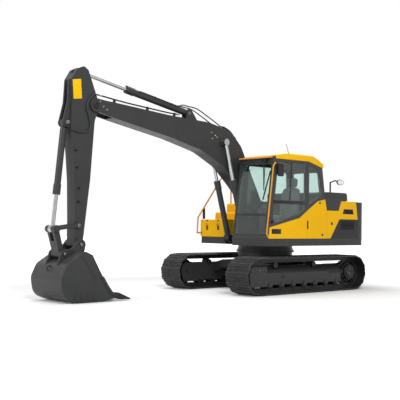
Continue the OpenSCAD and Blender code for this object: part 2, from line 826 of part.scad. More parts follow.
module cab_floor() {
    color(black) block(seat - cab_rear + cab_t, cab_front - pillar_d - 12, cab_in_y + cab_t + seat,
        cab_out_y - cab_t - seat, cab_low_z, cab_low_z + floor_t);
}

// Front frame with the opening for the windscreen, and a bar that parts its two panes
screen_low_z = 1185;
screen_bar_z = 1580;
screen_high_z = cab_top_z - 88;
screen_bar = 34;
screen_in = cab_in_y + 42;
screen_out = cab_out_y - 42;
pane_rows = [[screen_low_z, screen_bar_z - screen_bar / 2], [screen_bar_z + screen_bar / 2, screen_high_z]];
function pane(k) = [
    [screen_in, pane_rows[k][0], 40], [screen_out, pane_rows[k][0], 40],
    [screen_out, pane_rows[k][1], 40], [screen_in, pane_rows[k][1], 40]
];
module front_slab(d0, d1, z0, z1) {
    side(cab_in_y, cab_out_y) polygon([
        at_z(front_low, front_high, z0) - [d0, 0], at_z(front_low, front_high, z1) - [d0, 0],
        at_z(front_low, front_high, z1) - [d1, 0], at_z(front_low, front_high, z0) - [d1, 0]
    ]);
}

header_d = 62;
header_lip = 14;
header_z = cab_top_z + 58;
module cab_front_frame() {
    color(black) difference() {
        union() {
            front_slab(0, pillar_d, cab_low_z, cab_top_z);
            side(cab_in_y, cab_out_y) polygon([
                front_high - [header_d, 1], front_high + [header_lip, -1],
                [cab_front_top + header_lip, header_z - 16], [cab_front_top - header_d, header_z]
            ]);
        }
        for (k = [0, 1]) {
            cross(0, cab_front + 10) polygon(rounded(inset(pane(k), rebate_w)));
            intersection() {
                front_slab(-10, glass_t + 2, cab_low_z, cab_top_z);
                cross(0, cab_front + 10) polygon(rounded(pane(k)));
            }
        }
    }
}

right_window = [
    [-330, 1760, 60], [1010, 1500, 60], [905, 2600, 60], [40, 2600, 60], [-290, 2500, 60]
];
module cab_right_wall() {
    color(black) difference() {
        side(cab_in_y, cab_in_y + cab_t) polygon(rounded(wall_rows));
        window(right_window, cab_in_y, cab_in_y + cab_t, -1);
    }
}

// Rear wall between the side walls, following the lean of the cab's back
rear_window = [
    [cab_in_y + cab_t + 60, 2010, 60], [cab_out_y - cab_t - 60, 2010, 60],
    [cab_out_y - cab_t - 60, 2500, 60], [cab_in_y + cab_t + 60, 2500, 60]
];
rear_foot = [-cab_rear, rear_mid_z];
rear_rows = [
    [-cab_rear, cab_low_z], [cab_t - cab_rear, cab_low_z], rear_foot + [cab_t, 0],
    roof_rear + [cab_t, 0], roof_rear, rear_foot
];
module rear_slab(d0, d1) {
    side(cab_in_y + cab_t, cab_out_y - cab_t) polygon([
        rear_foot + [d0, 0], roof_rear + [d0, 0], roof_rear + [d1, 0], rear_foot + [d1, 0]
    ]);
}
module cab_rear_wall() {
    color(black) difference() {
        side(cab_in_y + cab_t, cab_out_y - cab_t) polygon(rear_rows);
        cross(-cab_rear - 10, 0) polygon(rounded(inset(rear_window, rebate_w)));
        intersection() {
            rear_slab(-10, glass_t + 2);
            cross(-cab_rear - 10, 0) polygon(rounded(rear_window));
        }
    }
}

// Fixed quarter behind the door: yellow panel below the belt, window frame above it
quarter_front = door_rear - door_gap;
belt_fall = (belt[2][1] - belt[1][1]) / (belt[1][0] - belt[2][0]);
function belt_z(x) = belt[1][1] + belt_fall * (belt[1][0] - x);
quarter_belt_z = belt_z(quarter_front);
door_belt_z = belt_z(door_rear);
module cab_quarter_panel() {
    color(yellow) side(cab_out_y - cab_t, cab_out_y) polygon([
        [seam_x + door_gap, cab_low_z], [quarter_front, cab_low_z], [quarter_front, quarter_belt_z],
        belt[2], belt[3], belt[4], [seam_x + door_gap, flap_z - door_gap]
    ]);
}

quarter_rows = [
    belt[4], belt[3], belt[2], [quarter_front, quarter_belt_z], [quarter_front, cab_top_z],
    roof_break, roof_rear, rear_foot
];
quarter_rim = 45;
quarter_window = [
    [belt[4][0] + 2 * quarter_rim, belt[4][1] + quarter_rim, 30],
    [belt[3][0], belt[3][1] + quarter_rim + 15, 30],
    [quarter_front - quarter_rim, quarter_belt_z + 2 * quarter_rim, 30],
    [quarter_front - quarter_rim, cab_top_z - quarter_rim - 15, 40],
    [roof_break[0] - 80, cab_top_z - quarter_rim - 40, 90],
    [roof_rear[0] + 2 * quarter_rim, roof_rear[1] - 2 * quarter_rim, 90]
];
module cab_quarter_frame() {
    color(black) difference() {
        side(cab_out_y - cab_t, cab_out_y) polygon(quarter_rows);
        window(quarter_window, cab_out_y - cab_t, cab_out_y, 1);
    }
}

// Roof, crowned both ways, behind the dark header and down over the rear
roof_over = 8;
roof_front_x = cab_front_top - header_d;
roof_edge_z = cab_crown_z - 34;
roof_tail = [roof_rear[0] - 26, roof_rear[1] + 8];
roof_rows = [
    [roof_tail[0], roof_tail[1] - 8, 0], [roof_rear[0], roof_rear[1], 0], [roof_break[0], roof_break[1], 0],
    [roof_front_x, cab_top_z, 0], [roof_front_x, header_z, 0], [700, cab_crown_z - 26, 500],
    [300, cab_crown_z, 500], [-20, cab_crown_z - 8, 160], [-235, roof_edge_z - 60, 160],
    [roof_tail[0], roof_tail[1] + 62, 30]
];
roof_cross = [
    [cab_in_y - roof_over, roof_tail[1] - 10, 0], [cab_out_y + roof_over, roof_tail[1] - 10, 0],
    [cab_out_y + roof_over, roof_edge_z, 30], [cab_out_y - 160, cab_crown_z, 160],
    [cab_in_y + 160, cab_crown_z, 160], [cab_in_y - roof_over, roof_edge_z, 30]
];
module cab_roof() {
    color(yellow) intersection() {
        side(cab_in_y - roof_over, cab_out_y + roof_over) polygon(rounded(roof_rows, 8));
        cross(roof_tail[0] - 10, roof_front_x + 10) polygon(rounded(roof_cross));
    }
}

// Grab bars beside the front pillar and along the header
bar_r = 14;
bar_y = cab_out_y + 27;
bar_top_z = 2600;
bar_low_z = 1150;
bar_ahead = 16;
header_bar_z = cab_top_z + 20;
function pillar_x(z) = at_z(front_low, front_high, z)[0];
module cab_grab_bars() {
    header_x = cab_front_top + header_lip;
    color(orange) {
        tube([
            [pillar_x(bar_top_z) - 34, cab_out_y + seat, bar_top_z], [pillar_x(bar_top_z) - 34, bar_y, bar_top_z],
            [pillar_x(bar_top_z - 60) + bar_ahead, bar_y, bar_top_z - 60],
            [pillar_x(bar_low_z + 60) + bar_ahead, bar_y, bar_low_z + 60],
            [pillar_x(bar_low_z) - 34, bar_y, bar_low_z], [pillar_x(bar_low_z) - 34, cab_out_y + seat, bar_low_z]
        ], bar_r);
        tube([
            [header_x + seat, cab_in_y + 30, header_bar_z], [header_x + 45, cab_in_y + 30, header_bar_z],
            [header_x + 45, cab_out_y - 30, header_bar_z], [header_x + seat, cab_out_y - 30, header_bar_z]
        ], bar_r);
    }
}

// Mirror on the door's front stile
module door_mirror() {
    color(black) {
        side(cab_out_y + 14, cab_out_y + 46) polygon(rounded([
            [850, 2340, 40], [1010, 2340, 40], [1030, 2590, 40], [870, 2590, 40]
        ]));
        block(1000, 1026, cab_out_y + seat, cab_out_y + 20, 2470, 2530);
    }
}

module cab_glass() {
    color(teal) {
        for (k = [0, 1]) {
            intersection() {
                front_slab(2, 2 + glass_t, cab_low_z, cab_top_z);
                cross(0, cab_front + 10) polygon(rounded(inset(pane(k), seat)));
            }
        }
        side(cab_in_y + 2, cab_in_y + 2 + glass_t) polygon(rounded(inset(right_window, seat)));
        side(cab_out_y - 2 - glass_t, cab_out_y - 2) polygon(rounded(inset(quarter_window, seat)));
        intersection() {
            rear_slab(2, 2 + glass_t);
            cross(-cab_rear - 10, 0) polygon(rounded(inset(rear_window, seat)));
        }
    }
}

// Door: yellow panel below the belt and a window frame above, hinged at its rear edge
door_belt = [[door_front(belt[0][1]), belt[0][1]], belt[1], [door_rear, door_belt_z]];
module cab_door_panel() {
    color(yellow) side(cab_out_y - cab_t, cab_out_y) polygon([
        [door_rear, door_low_z], [door_front(door_low_z), door_low_z],
        door_belt[0], door_belt[1], door_belt[2]
    ]);
}

door_rows = [
    door_belt[2], door_belt[1], door_belt[0],
    [door_front(door_high_z), door_high_z], [door_rear, door_high_z]
];
pane_round = 90;
door_window = inset([for (q = door_rows) [q[0], q[1], pane_round]], frame_rim);
module cab_door_frame() {
    color(black) difference() {
        side(cab_out_y - cab_t, cab_out_y) polygon(door_rows);
        window(door_window, cab_out_y - cab_t, cab_out_y, 1);
    }
}

module door_glass() {
    color(teal) side(cab_out_y - 2 - glass_t, cab_out_y - 2) polygon(rounded(inset(door_window, seat)));
}

// Seat on its box, with a back and a head rest
seat_x = 330;
seat_y = (cab_in_y + cab_out_y) / 2;
seat_z = cab_low_z + floor_t;
// Consoles keep their width and gaps, and the seat takes the width between them
console_w = 106.5;
console_gap = 40;
console_out = (cab_out_y - cab_in_y) / 2 - cab_t - console_gap;
console_in = console_out - console_w;
seat_half = console_in - console_gap;
seat_box_h = 300;
cushion_h = 120;
cushion_front = 290;
cushion_rear = 250;
back_h = 610;
back_z = seat_box_h + cushion_h - 25;
head_z = back_z + back_h;
module operator_seat() {
    color(black) translate([seat_x, seat_y, seat_z]) {
        block(-seat_half, seat_half, 20 - seat_half, seat_half - 20, 0, seat_box_h);
        side(-seat_half - 20, seat_half + 20) polygon(rounded([
            [-cushion_rear, seat_box_h - 1, 20], [cushion_front - 10, seat_box_h - 1, 50],
            [cushion_front, seat_box_h + cushion_h, 60], [-cushion_rear, back_z + 5, 20]
        ]));
        side(-seat_half, seat_half) polygon(rounded([
            [-270, back_z, 30], [-130, back_z, 30], [-230, head_z + 5, 50], [-330, head_z - 5, 40]
        ]));
        side(-seat_half / 2 - 15, seat_half / 2 + 15) polygon(rounded([
            [-325, head_z, 10], [-240, head_z, 10], [-260, head_z + 185, 40], [-350, head_z + 175, 40]
        ]));
    }
}

// Consoles beside the seat with a joystick each, and travel levers ahead of it
console_y = (console_in + console_out) / 2;
console_h = 540;
stick_h = 180;
stick_x = 250;
stick_lean = 10;
lever_x = 580;
lever_y = 70;
lever_h = 580;
module control_consoles() {
    color(black) translate([seat_x, seat_y, seat_z]) both_sides() {
        side(console_in, console_out) polygon(rounded([
            [-260, 0, 0], [230, 0, 0], [330, console_h + 20, 40], [-260, console_h - 20, 30]
        ]));
        translate([stick_x, console_y, console_h - 20]) rotate([0, stick_lean, 0]) {
            cylinder(r = 14, h = stick_h, $fn = 24);
            translate([0, 0, stick_h]) sphere(r = 34, $fn = 32);
        }
        block(lever_x - 60, lever_x + 60, lever_y - 45, lever_y + 45, 0, 40);
        translate([lever_x, lever_y, 20]) cylinder(r = 12, h = lever_h - 20, $fn = 24);
    }
}

// Boom: a bent box between its foot and a fork at its tip
boom_rows = [
    [boom_foot[0] + 70, boom_foot[1] - 95, 0], [990, 2170, 500], [1420, 2555, 700], [1990, 2830, 900],
    [2800, 3025, 1200], [4080, 3250, 300], [boom_tip[0] - 20, boom_tip[1] - boom_boss_r, 0],
    [boom_tip[0] - 10, boom_tip[1] + boom_boss_r, 0], [3900, 3530, 900], [2900, 3455, 1500],
    [1850, 3415, 900], [1230, 3290, 300], [925, 2987, 260], [boom_foot[0] - 100, boom_foot[1] + 62, 0]
];
fork_r = 430;
fork_in = arm_half + 5;
boom_lug_in = eye_half + side_gap;
eye_boss_r = 86;
eye_boss_out = boom_cyl_y - eye_half - side_gap;
module boom() {
    color(charcoal) difference() {
        union() {
            side(-boom_half, boom_half) {
                polygon(rounded(boom_rows));
                disc(boom_foot, boom_boss_r);
                disc(boom_tip, boom_boss_r);
            }
            both_sides() round_y(boom_cyl_eye, eye_boss_r, boom_half - 1, eye_boss_out);
            both_sides() side(boom_lug_in, boom_lug_in + lug_t) {
                disc(arm_cyl_foot, eye_r + 12);
                polygon([
                    arm_cyl_foot + [-230, -165], arm_cyl_foot + [eye_r + 5, -165],
                    arm_cyl_foot + [eye_r + 5, -20], arm_cyl_foot + [-eye_r, 40]
                ]);
            }
        }
        round_y(boom_tip, fork_r, -fork_in, fork_in);
        round_y(boom_tip, link_pin_r + 8 + pin_fit, -boom_w, boom_w);
        round_y(boom_foot, boom_pin_r + pin_fit, -boom_w, boom_w);
        round_y(arm_cyl_foot, link_pin_r + pin_fit, -boom_w, boom_w);
    }
}

tip_pin_r = link_pin_r + 8;
module boom_pins() {
    color(steel) {
        round_y(boom_tip, tip_pin_r, -boom_half - 12, boom_half + 12);
        round_y(arm_cyl_foot, link_pin_r, -boom_lug_in - lug_t, boom_lug_in + lug_t);
    }
}

// Steel pipes along the boom's back and along its front half, each on three stubs
pipe_r = 14;
pipe_off = 45;
pipe_tip_off = 70;
pipe_y = 80;
front_pipe_y = boom_half - 20;
pipe_line = inset(boom_rows, -pipe_off);
// Point outside the boom's edge from row k to row k + 1: share t along it, distance d
function off_edge(k, t, d) =
    let(a = xz(boom_rows[k]), b = xz(boom_rows[k + 1]))
    a + (b - a) * t - left_of(unit(b - a)) * d;
// Stubs: row of the boom's edge and share along it
back_stubs = [[12, 0.2], [11, 0.5], [10, 0.78]];
front_stubs = [[9, 0.15], [8, 0.5], [7, 0.6]];
module stub(k, t) {
    polygon(link_rows_of(off_edge(k, t, pipe_off), off_edge(k, t, seat), pipe_r - 4));
}
module pipe_run(points) {
    for (i = [0:len(points) - 2]) {
        polygon(link_rows_of(points[i], points[i + 1], pipe_r));
    }
    for (i = [1:len(points) - 2]) {
        disc(points[i], pipe_r + 1);
    }
}
module boom_pipes() {
    color(black) both_sides() {
        side(pipe_y - pipe_r, pipe_y + pipe_r) {
            pipe_run([
                off_edge(10, 0.6, pipe_off), xz(pipe_line[11]),
                xz(pipe_line[12]), off_edge(12, 0.35, pipe_off)
            ]);
            for (q = back_stubs) {
                stub(q[0], q[1]);
            }
        }
        side(front_pipe_y - pipe_r, front_pipe_y + pipe_r) {
            pipe_run([
                off_edge(9, 0.25, pipe_off), xz(pipe_line[9]),
                xz(pipe_line[8]), off_edge(7, 0.12, pipe_tip_off)
            ]);
            for (q = front_stubs) {
                stub(q[0], q[1]);
            }
        }
    }
}

// Cylinder from its foot to its eye: a neck behind the foot's eye, the barrel and a gland at its end
neck_end = eye_r + 25;
bore_start = eye_r + 40;
gland_len = 180;
gland_over = 9;
module along(foot, eye) {
    translate([foot[0], 0, foot[1]]) rotate([0, -heading(eye - foot), 0]) children();
}

module round_x(x0, x1, r) {
    translate([x0, 0, 0]) rotate([0, 90, 0]) cylinder(r = r, h = x1 - x0, $fn = round_fn);
}

module barrel(foot, eye, r, rod_r, barrel_len) {
    along(foot, eye) difference() {
        union() {
            round_y([0, 0], eye_r, -eye_half, eye_half);
            round_x(0, neck_end + 1, eye_half - 2);
            round_x(neck_end, barrel_len, r);
            round_x(barrel_len - gland_len, barrel_len, r + gland_over);
        }
        round_y([0, 0], link_pin_r + pin_fit, -eye_half - 1, eye_half + 1);
        round_x(bore_start, barrel_len + 1, rod_r + seat);
    }
}

module rod(foot, eye, rod_r, rod_in) {
    len = norm(eye - foot);
    along(foot, eye) {
        round_x(rod_in, len, rod_r);
        round_y([len, 0], eye_r, -eye_half, eye_half);
    }
}

boom_barrel_len = 1245;
boom_rod_in = 675;
module boom_cylinder_barrels() {
    color(charcoal) both_sides() translate([0, boom_cyl_y, 0])
        barrel(boom_cyl_foot, boom_cyl_eye, boom_cyl_r, boom_rod_r, boom_barrel_len);
}
module boom_cylinder_rods() {
    color(steel) both_sides() translate([0, boom_cyl_y, 0])
        rod(boom_cyl_foot, boom_cyl_eye, boom_rod_r, boom_rod_in);
}

arm_barrel_len = 1540;
arm_rod_in = 1000;
module arm_cylinder_barrel() {
    color(charcoal) barrel(arm_cyl_foot, arm_cyl_eye, arm_cyl_r, arm_rod_r, arm_barrel_len);
}
module arm_cylinder_rod() { color(steel) rod(arm_cyl_foot, arm_cyl_eye, arm_rod_r, arm_rod_in); }

bucket_barrel_len = 1262;
bucket_rod_in = 720;
module bucket_cylinder_barrel() {
    color(charcoal) barrel(bucket_cyl_foot, link_top, bucket_cyl_r, bucket_rod_r, bucket_barrel_len);
}
module bucket_cylinder_rod() { color(steel) rod(bucket_cyl_foot, link_top, bucket_rod_r, bucket_rod_in); }

// Arm: a tapering box with a slot for the arm cylinder's eye and tall lugs for the bucket cylinder
slot_half = eye_half + 12;
// The slot around the arm cylinder's rod and the drift of its eye over its travel, from the eye
slot_rows = [
    [30, -116], [-240, -320], [-420, -100], [-300, 300],
    [60, 300], [285, 130], [285, 0], [240, -20]
];
arm_rows = [
    [bucket_hinge[0] - 82, bucket_hinge[1], 0], [bucket_hinge[0] + 88, bucket_hinge[1], 0],
    [4950, 1430, 300], [4968, 2110, 500], [5005, 2548, 300], [5050, 2956, 200], [5042, 3444, 300],
    [5056, 3868, 60], [4943, 4055, 60], [4800, 4125, 60], [4705, 4060, 40], [4500, 3560, 100],
    [4470, 3380, 80], [4560, 3200, 300], [4640, 2124, 400]
];
bucket_lug_rows = [
    [5030, 3862, 0], [5082, 3875, 20], [5107, 3461, 300], [5150, 3289, 200],
    [bucket_cyl_foot[0] + 77, bucket_cyl_foot[1], 0], [bucket_cyl_foot[0], bucket_cyl_foot[1] - 77, 0],
    [5030, 3010, 0]
];
arm_tip_r = 92;
module arm() {
    color(charcoal) difference() {
        union() {
            side(-arm_half, arm_half) {
                polygon(rounded(arm_rows));
                disc(boom_tip, boom_boss_r);
            }
            round_y(bucket_hinge, arm_tip_r, -tip_half, tip_half);
            both_sides() side(lug_in, lug_out) {
                disc(bucket_cyl_foot, eye_r + 8);
                polygon(rounded(bucket_lug_rows));
            }
        }
        side(-slot_half, slot_half) {
            disc(arm_cyl_eye, eye_r + 14);
            polygon([for (q = slot_rows) arm_cyl_eye + q]);
        }
        round_y(bucket_cyl_foot, eye_r + 12, -lug_in, lug_in);
        round_y(boom_tip, tip_pin_r + pin_fit, -boom_w, boom_w);
        round_y(bucket_cyl_foot, link_pin_r + pin_fit, -boom_w, boom_w);
        round_y(idler_foot, link_pin_r + pin_fit, -boom_w, boom_w);
        round_y(bucket_hinge, link_pin_r + pin_fit, -boom_w, boom_w);
    }
}

module arm_pins() {
    color(steel) {
        round_y(bucket_cyl_foot, link_pin_r, -lug_out - 8, lug_out + 8);
        round_y(idler_foot, link_pin_r, -idler_in - idler_t - 3, idler_in + idler_t + 3);
    }
}

// Idler links on both sides of the arm
idler_r = 64;
idler_half = 28;
function link_rows_of(a, b, r) = let(n = left_of(unit(b - a)) * r) [a - n, b - n, b + n, a + n];
module idler_links() {
    color(charcoal) both_sides() difference() {
        union() {
            side(idler_in, idler_in + idler_t) {
                disc(idler_foot, idler_r);
                disc(link_top, idler_r);
                polygon(link_rows_of(idler_foot, link_top, idler_half));
            }
            round_y(link_top, idler_r - 14, idler_in + idler_t - 1, idler_in + idler_t + idler_boss);
        }
        round_y(idler_foot, link_pin_r + pin_fit, 0, boom_w);
    }
}

// Bucket link: forked at the top for the bucket cylinder's eye, one wide eye at the bottom
bucket_link_r = 64;
fork_depth = 210;
module bucket_link() {
    color(charcoal) difference() {
        union() {
            side(-link_half, link_half) {
                disc(link_top, bucket_link_r);
                disc(link_low, bucket_link_r);
                polygon(link_rows_of(link_low, link_top, bucket_link_r - 14));
            }
            round_y(link_low, bucket_link_r, -tip_half, tip_half);
        }
        round_y(link_top, fork_depth, -lug_in - 1, lug_in + 1);
        round_y(link_low, link_pin_r + pin_fit, -boom_w, boom_w);
    }
}

// Bucket in the side view: x, z and corner radius, anticlockwise from the lip
bucket_half = bucket_w / 2;
lip = [4300, 66];
crown = [4960, 880];
bucket_rows = [
    [lip[0], lip[1], 0], [4560, 12, 500], [5130, 4, 300], [5390, 110, 230], [5440, 420, 230],
    [5330, 650, 200], [5040, 830, 250], [crown[0], crown[1], 40], [4815, 815, 50], [4600, 440, 600]
];
// The hollow, open towards the teeth
hollow_rows = [
    [lip[0] - 200, lip[1] + bucket_wall + 30, 0], [4560, 12 + bucket_wall, 480],
    [5120, 4 + bucket_wall, 280], [5368, 118, 210], [5414, 420, 210], [5312, 632, 180],
    [5030, 806, 200], [4815, 815 + 2 * bucket_wall, 0], [4600, 815, 0]
];
ear_out = ear_in + ear_t;
ear_r = 92;
ear_low_r = 76;
ear_rows = [
    [4800, 850, 0], [bucket_hinge[0] - ear_r + 2, bucket_hinge[1] - 20, 0],
    [bucket_hinge[0] + 46, bucket_hinge[1] + ear_r - 14, 0], [5045, 918, 160],
    [link_low[0], link_low[1] + ear_low_r - 2, 0], [link_low[0] + ear_low_r, link_low[1], 0],
    [5350, 600, 0], [5100, 700, 0]
];
module bucket_shell() {
    color(charcoal) difference() {
        union() {
            side(bucket_side_t - bucket_half, bucket_half - bucket_side_t) polygon(rounded(bucket_rows));
            both_sides() side(ear_in, ear_out) {
                polygon(rounded(ear_rows));
                disc(bucket_hinge, ear_r);
                disc(link_low, ear_low_r);
            }
        }
        side(-bucket_half - 1, bucket_half + 1) polygon(rounded(hollow_rows));
        round_y(bucket_hinge, link_pin_r + pin_fit, -boom_w, boom_w);
        round_y(link_low, link_pin_r + pin_fit, -boom_w, boom_w);
    }
}

module bucket_sides() {
    color(charcoal) both_sides() side(bucket_half - bucket_side_t, bucket_half) polygon(rounded(bucket_rows));
}

// Cutting lip with its teeth
tooth_rows = [
    [lip[0] - 30, lip[1] - 22], [lip[0] - 30, lip[1] + 70], [lip[0] - 110, lip[1] + 62],
    [3990, 40], [3985, 18], [lip[0] - 110, lip[1] - 42]
];
lip_in = bucket_half - bucket_side_t - 2;
module bucket_lip() {
    color(black) {
        side(-lip_in, lip_in) polygon([
            lip - [60, -4], lip - [0, 0], lip + [0, bucket_wall + 14], lip + [-50, bucket_wall + 18]
        ]);
        for (i = [0:bucket_teeth - 1]) {
            let(y = (i / (bucket_teeth - 1) - 0.5) * (2 * lip_in - bucket_tooth_w))
                side(y - bucket_tooth_w / 2, y + bucket_tooth_w / 2) polygon(tooth_rows);
        }
    }
}

module bucket_pins() {
    color(steel) {
        round_y(bucket_hinge, link_pin_r, -ear_out - 8, ear_out + 8);
        round_y(link_low, link_pin_r, -ear_out - 8, ear_out + 8);
    }
}

in_frame() car_body();
in_frame() track_frame_left();
in_frame() track_frame_right();
in_frame() track_left();
in_frame() track_right();
in_frame() front_idlers();
in_frame() drive_sprockets();
in_frame() bottom_rollers();
in_frame() carrier_rollers();
in_frame() swing_bearing();
in_frame() platform();
in_frame() platform_pins();
in_frame() counterweight();
in_frame() engine_block();
in_frame() engine_bulkhead();
in_frame() left_service_door();
in_frame() left_grille();
in_frame() right_service_door();
in_frame() engine_hood();
in_frame() hood_side_panel();
in_frame() door_vent();
in_frame() rear_mirror();
in_frame() cab_grab_bars();
in_frame() door_mirror();
in_frame() hydraulic_tank();
in_frame() fuel_tank();
in_frame() toolbox();
in_frame() toolbox_lid();
in_frame() hand_rails();
in_frame() cab_floor();
in_frame() cab_front_frame();
in_frame() cab_right_wall();
in_frame() cab_rear_wall();
in_frame() cab_quarter_panel();
in_frame() cab_quarter_frame();
in_frame() cab_roof();
in_frame() cab_glass();
in_frame() cab_door_panel();
in_frame() cab_door_frame();
in_frame() door_glass();
in_frame() operator_seat();
in_frame() control_consoles();
in_frame() boom();
in_frame() boom_pins();
in_frame() boom_pipes();
in_frame() boom_cylinder_barrels();
in_frame() boom_cylinder_rods();
in_frame() arm_cylinder_barrel();
in_frame() arm_cylinder_rod();
in_frame() arm();
in_frame() arm_pins();
in_frame() bucket_cylinder_barrel();
in_frame() bucket_cylinder_rod();
in_frame() idler_links();
in_frame() bucket_link();
in_frame() bucket_shell();
in_frame() bucket_sides();
in_frame() bucket_lip();
in_frame() bucket_pins();
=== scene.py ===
import json
import math

import bmesh
import bpy
from mathutils import Matrix, Vector


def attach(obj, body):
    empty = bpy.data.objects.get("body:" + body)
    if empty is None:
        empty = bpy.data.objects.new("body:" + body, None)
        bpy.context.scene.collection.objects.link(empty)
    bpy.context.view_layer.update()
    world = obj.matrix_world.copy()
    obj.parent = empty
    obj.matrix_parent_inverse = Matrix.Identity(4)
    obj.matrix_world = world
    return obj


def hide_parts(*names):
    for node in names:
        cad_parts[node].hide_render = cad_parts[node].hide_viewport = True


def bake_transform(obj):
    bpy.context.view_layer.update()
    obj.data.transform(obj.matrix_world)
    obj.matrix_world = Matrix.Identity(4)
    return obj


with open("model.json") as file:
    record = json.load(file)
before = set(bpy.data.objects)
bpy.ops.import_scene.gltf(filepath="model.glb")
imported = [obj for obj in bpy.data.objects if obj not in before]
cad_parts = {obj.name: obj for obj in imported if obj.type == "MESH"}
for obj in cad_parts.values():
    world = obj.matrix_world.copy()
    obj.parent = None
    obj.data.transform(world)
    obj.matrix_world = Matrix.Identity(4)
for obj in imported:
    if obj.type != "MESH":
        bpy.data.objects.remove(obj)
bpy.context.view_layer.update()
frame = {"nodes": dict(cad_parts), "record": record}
nodes = frame["nodes"]

MM = 0.001
# The part's origin lies this far ahead of the swing axis, from which places are measured here
ORIGIN_X = 1620
UP = Vector((0, 0, 1))
LEFT = Vector((0, 1, 0))
AHEAD = Vector((1, 0, 0))
# The machine's two sides, left first, and their names
WAYS = (1, -1)
WAY_NAMES = ((1, "left"), (-1, "right"))


def at(x, y, z):
    """Place in the part's frame from millimetres ahead of, left of and above the swing axis on the ground."""
    return Vector(((x - ORIGIN_X) * MM, y * MM, z * MM))


# Materials

# Cosine between a face and its rounded normal where an edge begins, and where it is full
EDGE_FROM, EDGE_FULL = 0.97, 0.75
# Rise of a face's normal from which dust can lie on it
DUST_FROM = 0.55


class Shader:
    """A material's node tree with short ways to add and link nodes."""

    def __init__(self, name):
        self.material = bpy.data.materials.new(name)
        self.material.use_nodes = True
        self.tree = self.material.node_tree
        self.main = self.tree.nodes["Principled BSDF"]
        self.output = self.tree.nodes["Material Output"]
        self.place = self.add("ShaderNodeTexCoord").outputs["Object"]

    def add(self, kind, settings=None, **inputs):
        node = self.tree.nodes.new(kind)
        for key, value in (settings or {}).items():
            setattr(node, key, value)
        for key, value in inputs.items():
            self.put(node.inputs[key.replace("_", " ")], value)
        return node

    def put(self, socket, value):
        if isinstance(value, bpy.types.NodeSocket):
            self.tree.links.new(value, socket)
        else:
            socket.default_value = value

    def noise(self, scale, detail=4.0, rough=0.55, place=None):
        node = self.add("ShaderNodeTexNoise", Scale=scale, Detail=detail, Roughness=rough)
        self.put(node.inputs["Vector"], place or self.place)
        return node.outputs["Fac"]

    def stretch(self, x, y, z):
        node = self.add("ShaderNodeMapping", Scale=(x, y, z))
        self.put(node.inputs["Vector"], self.place)
        return node.outputs["Vector"]

    def math(self, operation, a, b=0.0, clamp=False):
        node = self.add("ShaderNodeMath", {"operation": operation, "use_clamp": clamp})
        self.put(node.inputs[0], a)
        self.put(node.inputs[1], b)
        return node.outputs[0]

    def ramp(self, value, low, high, to_low=0.0, to_high=1.0):
        node = self.add("ShaderNodeMapRange", From_Min=low, From_Max=high, To_Min=to_low, To_Max=to_high)
        self.put(node.inputs["Value"], value)
        return node.outputs["Result"]

    def spread(self, noise, to_low=0.0, to_high=1.0):
        """Noise, most of which lies between 0.3 and 0.7, spread over a range."""
        return self.ramp(noise, 0.3, 0.7, to_low, to_high)

    def mix(self, share, a, b):
        node = self.add("ShaderNodeMix", {"data_type": "RGBA"})
        self.put(node.inputs["Factor"], share)
        self.put(node.inputs[6], a)
        self.put(node.inputs[7], b)
        return node.outputs[2]

    def bump(self, height, strength, distance, normal=None):
        node = self.add("ShaderNodeBump", Strength=strength, Distance=distance)
        self.put(node.inputs["Height"], height)
        if normal is not None:
            self.put(node.inputs["Normal"], normal)
        return node.outputs["Normal"]

    def edges(self, radius):
        """Share that is 1 along the piece's sharp edges, and the normal rounded over them."""
        rounded = self.add("ShaderNodeBevel", {"samples": 4}, Radius=radius).outputs["Normal"]
        plain = self.add("ShaderNodeNewGeometry").outputs["Normal"]
        dot = self.add("ShaderNodeVectorMath", {"operation": "DOT_PRODUCT"})
        self.put(dot.inputs[0], rounded)
        self.put(dot.inputs[1], plain)
        return self.ramp(dot.outputs["Value"], EDGE_FROM, EDGE_FULL), rounded

    def up_share(self):
        """Share that is 1 where a surface faces up."""
        parts = self.add("ShaderNodeSeparateXYZ")
        self.put(parts.inputs["Vector"], self.add("ShaderNodeNewGeometry").outputs["Normal"])
        return self.ramp(parts.outputs["Z"], DUST_FROM, 1.0)


def colour(r, g, b):
    return (r, g, b, 1.0)


def shade(base, share):
    """A colour made darker or lighter, and no brighter than white."""
    return colour(*[min(1, c * share) for c in base])


DUST = colour(0.36, 0.34, 0.31)


def paint(name, base, worn_and_highlight, rough, coat, dust, edge_mm=7, shine=0.22, vary=0.09):
    """Sprayed machine paint: orange peel, faint blotches, dust on top faces and lighter edges, which are
    rubbed paint and a painted edge highlight.
    """
    s = Shader(name)
    edge, rounded = s.edges(edge_mm * MM)
    blotch = s.spread(s.noise(2.2, detail=5.0))
    tone = s.mix(blotch, shade(base, 1 - vary), shade(base, 1 + vary))
    # Lighter edges: rubbed paint, and a painted highlight along the edges
    scuffs_and_highlights = s.ramp(s.noise(38.0, detail=6.0, rough=0.65), 0.42, 0.68)
    rub = s.math("MULTIPLY", edge, scuffs_and_highlights)
    tone = s.mix(s.math("MULTIPLY", rub, 0.55), tone, colour(*worn_and_highlight))
    dusty = s.math("MULTIPLY", s.up_share(), s.ramp(s.noise(7.0, detail=8.0, rough=0.7), 0.35, 0.75))
    dusty = s.math("MULTIPLY", dusty, dust)
    s.put(s.main.inputs["Base Color"], s.mix(dusty, tone, DUST))
    gloss = s.spread(s.noise(16.0, detail=5.0), rough - 0.05, rough + 0.07)
    s.put(s.main.inputs["Roughness"], s.math("ADD", gloss, s.math("MULTIPLY", dusty, 0.5), True))
    s.main.inputs["Specular IOR Level"].default_value = shine
    s.main.inputs["Coat Weight"].default_value = coat
    s.main.inputs["Coat Roughness"].default_value = 0.12
    peel = s.bump(s.noise(420.0, detail=2.0), strength=0.042, distance=0.002, normal=rounded)
    waves = s.bump(s.noise(9.0, detail=3.0), strength=0.05, distance=0.004, normal=peel)
    s.put(s.main.inputs["Normal"], waves)
    return s.material


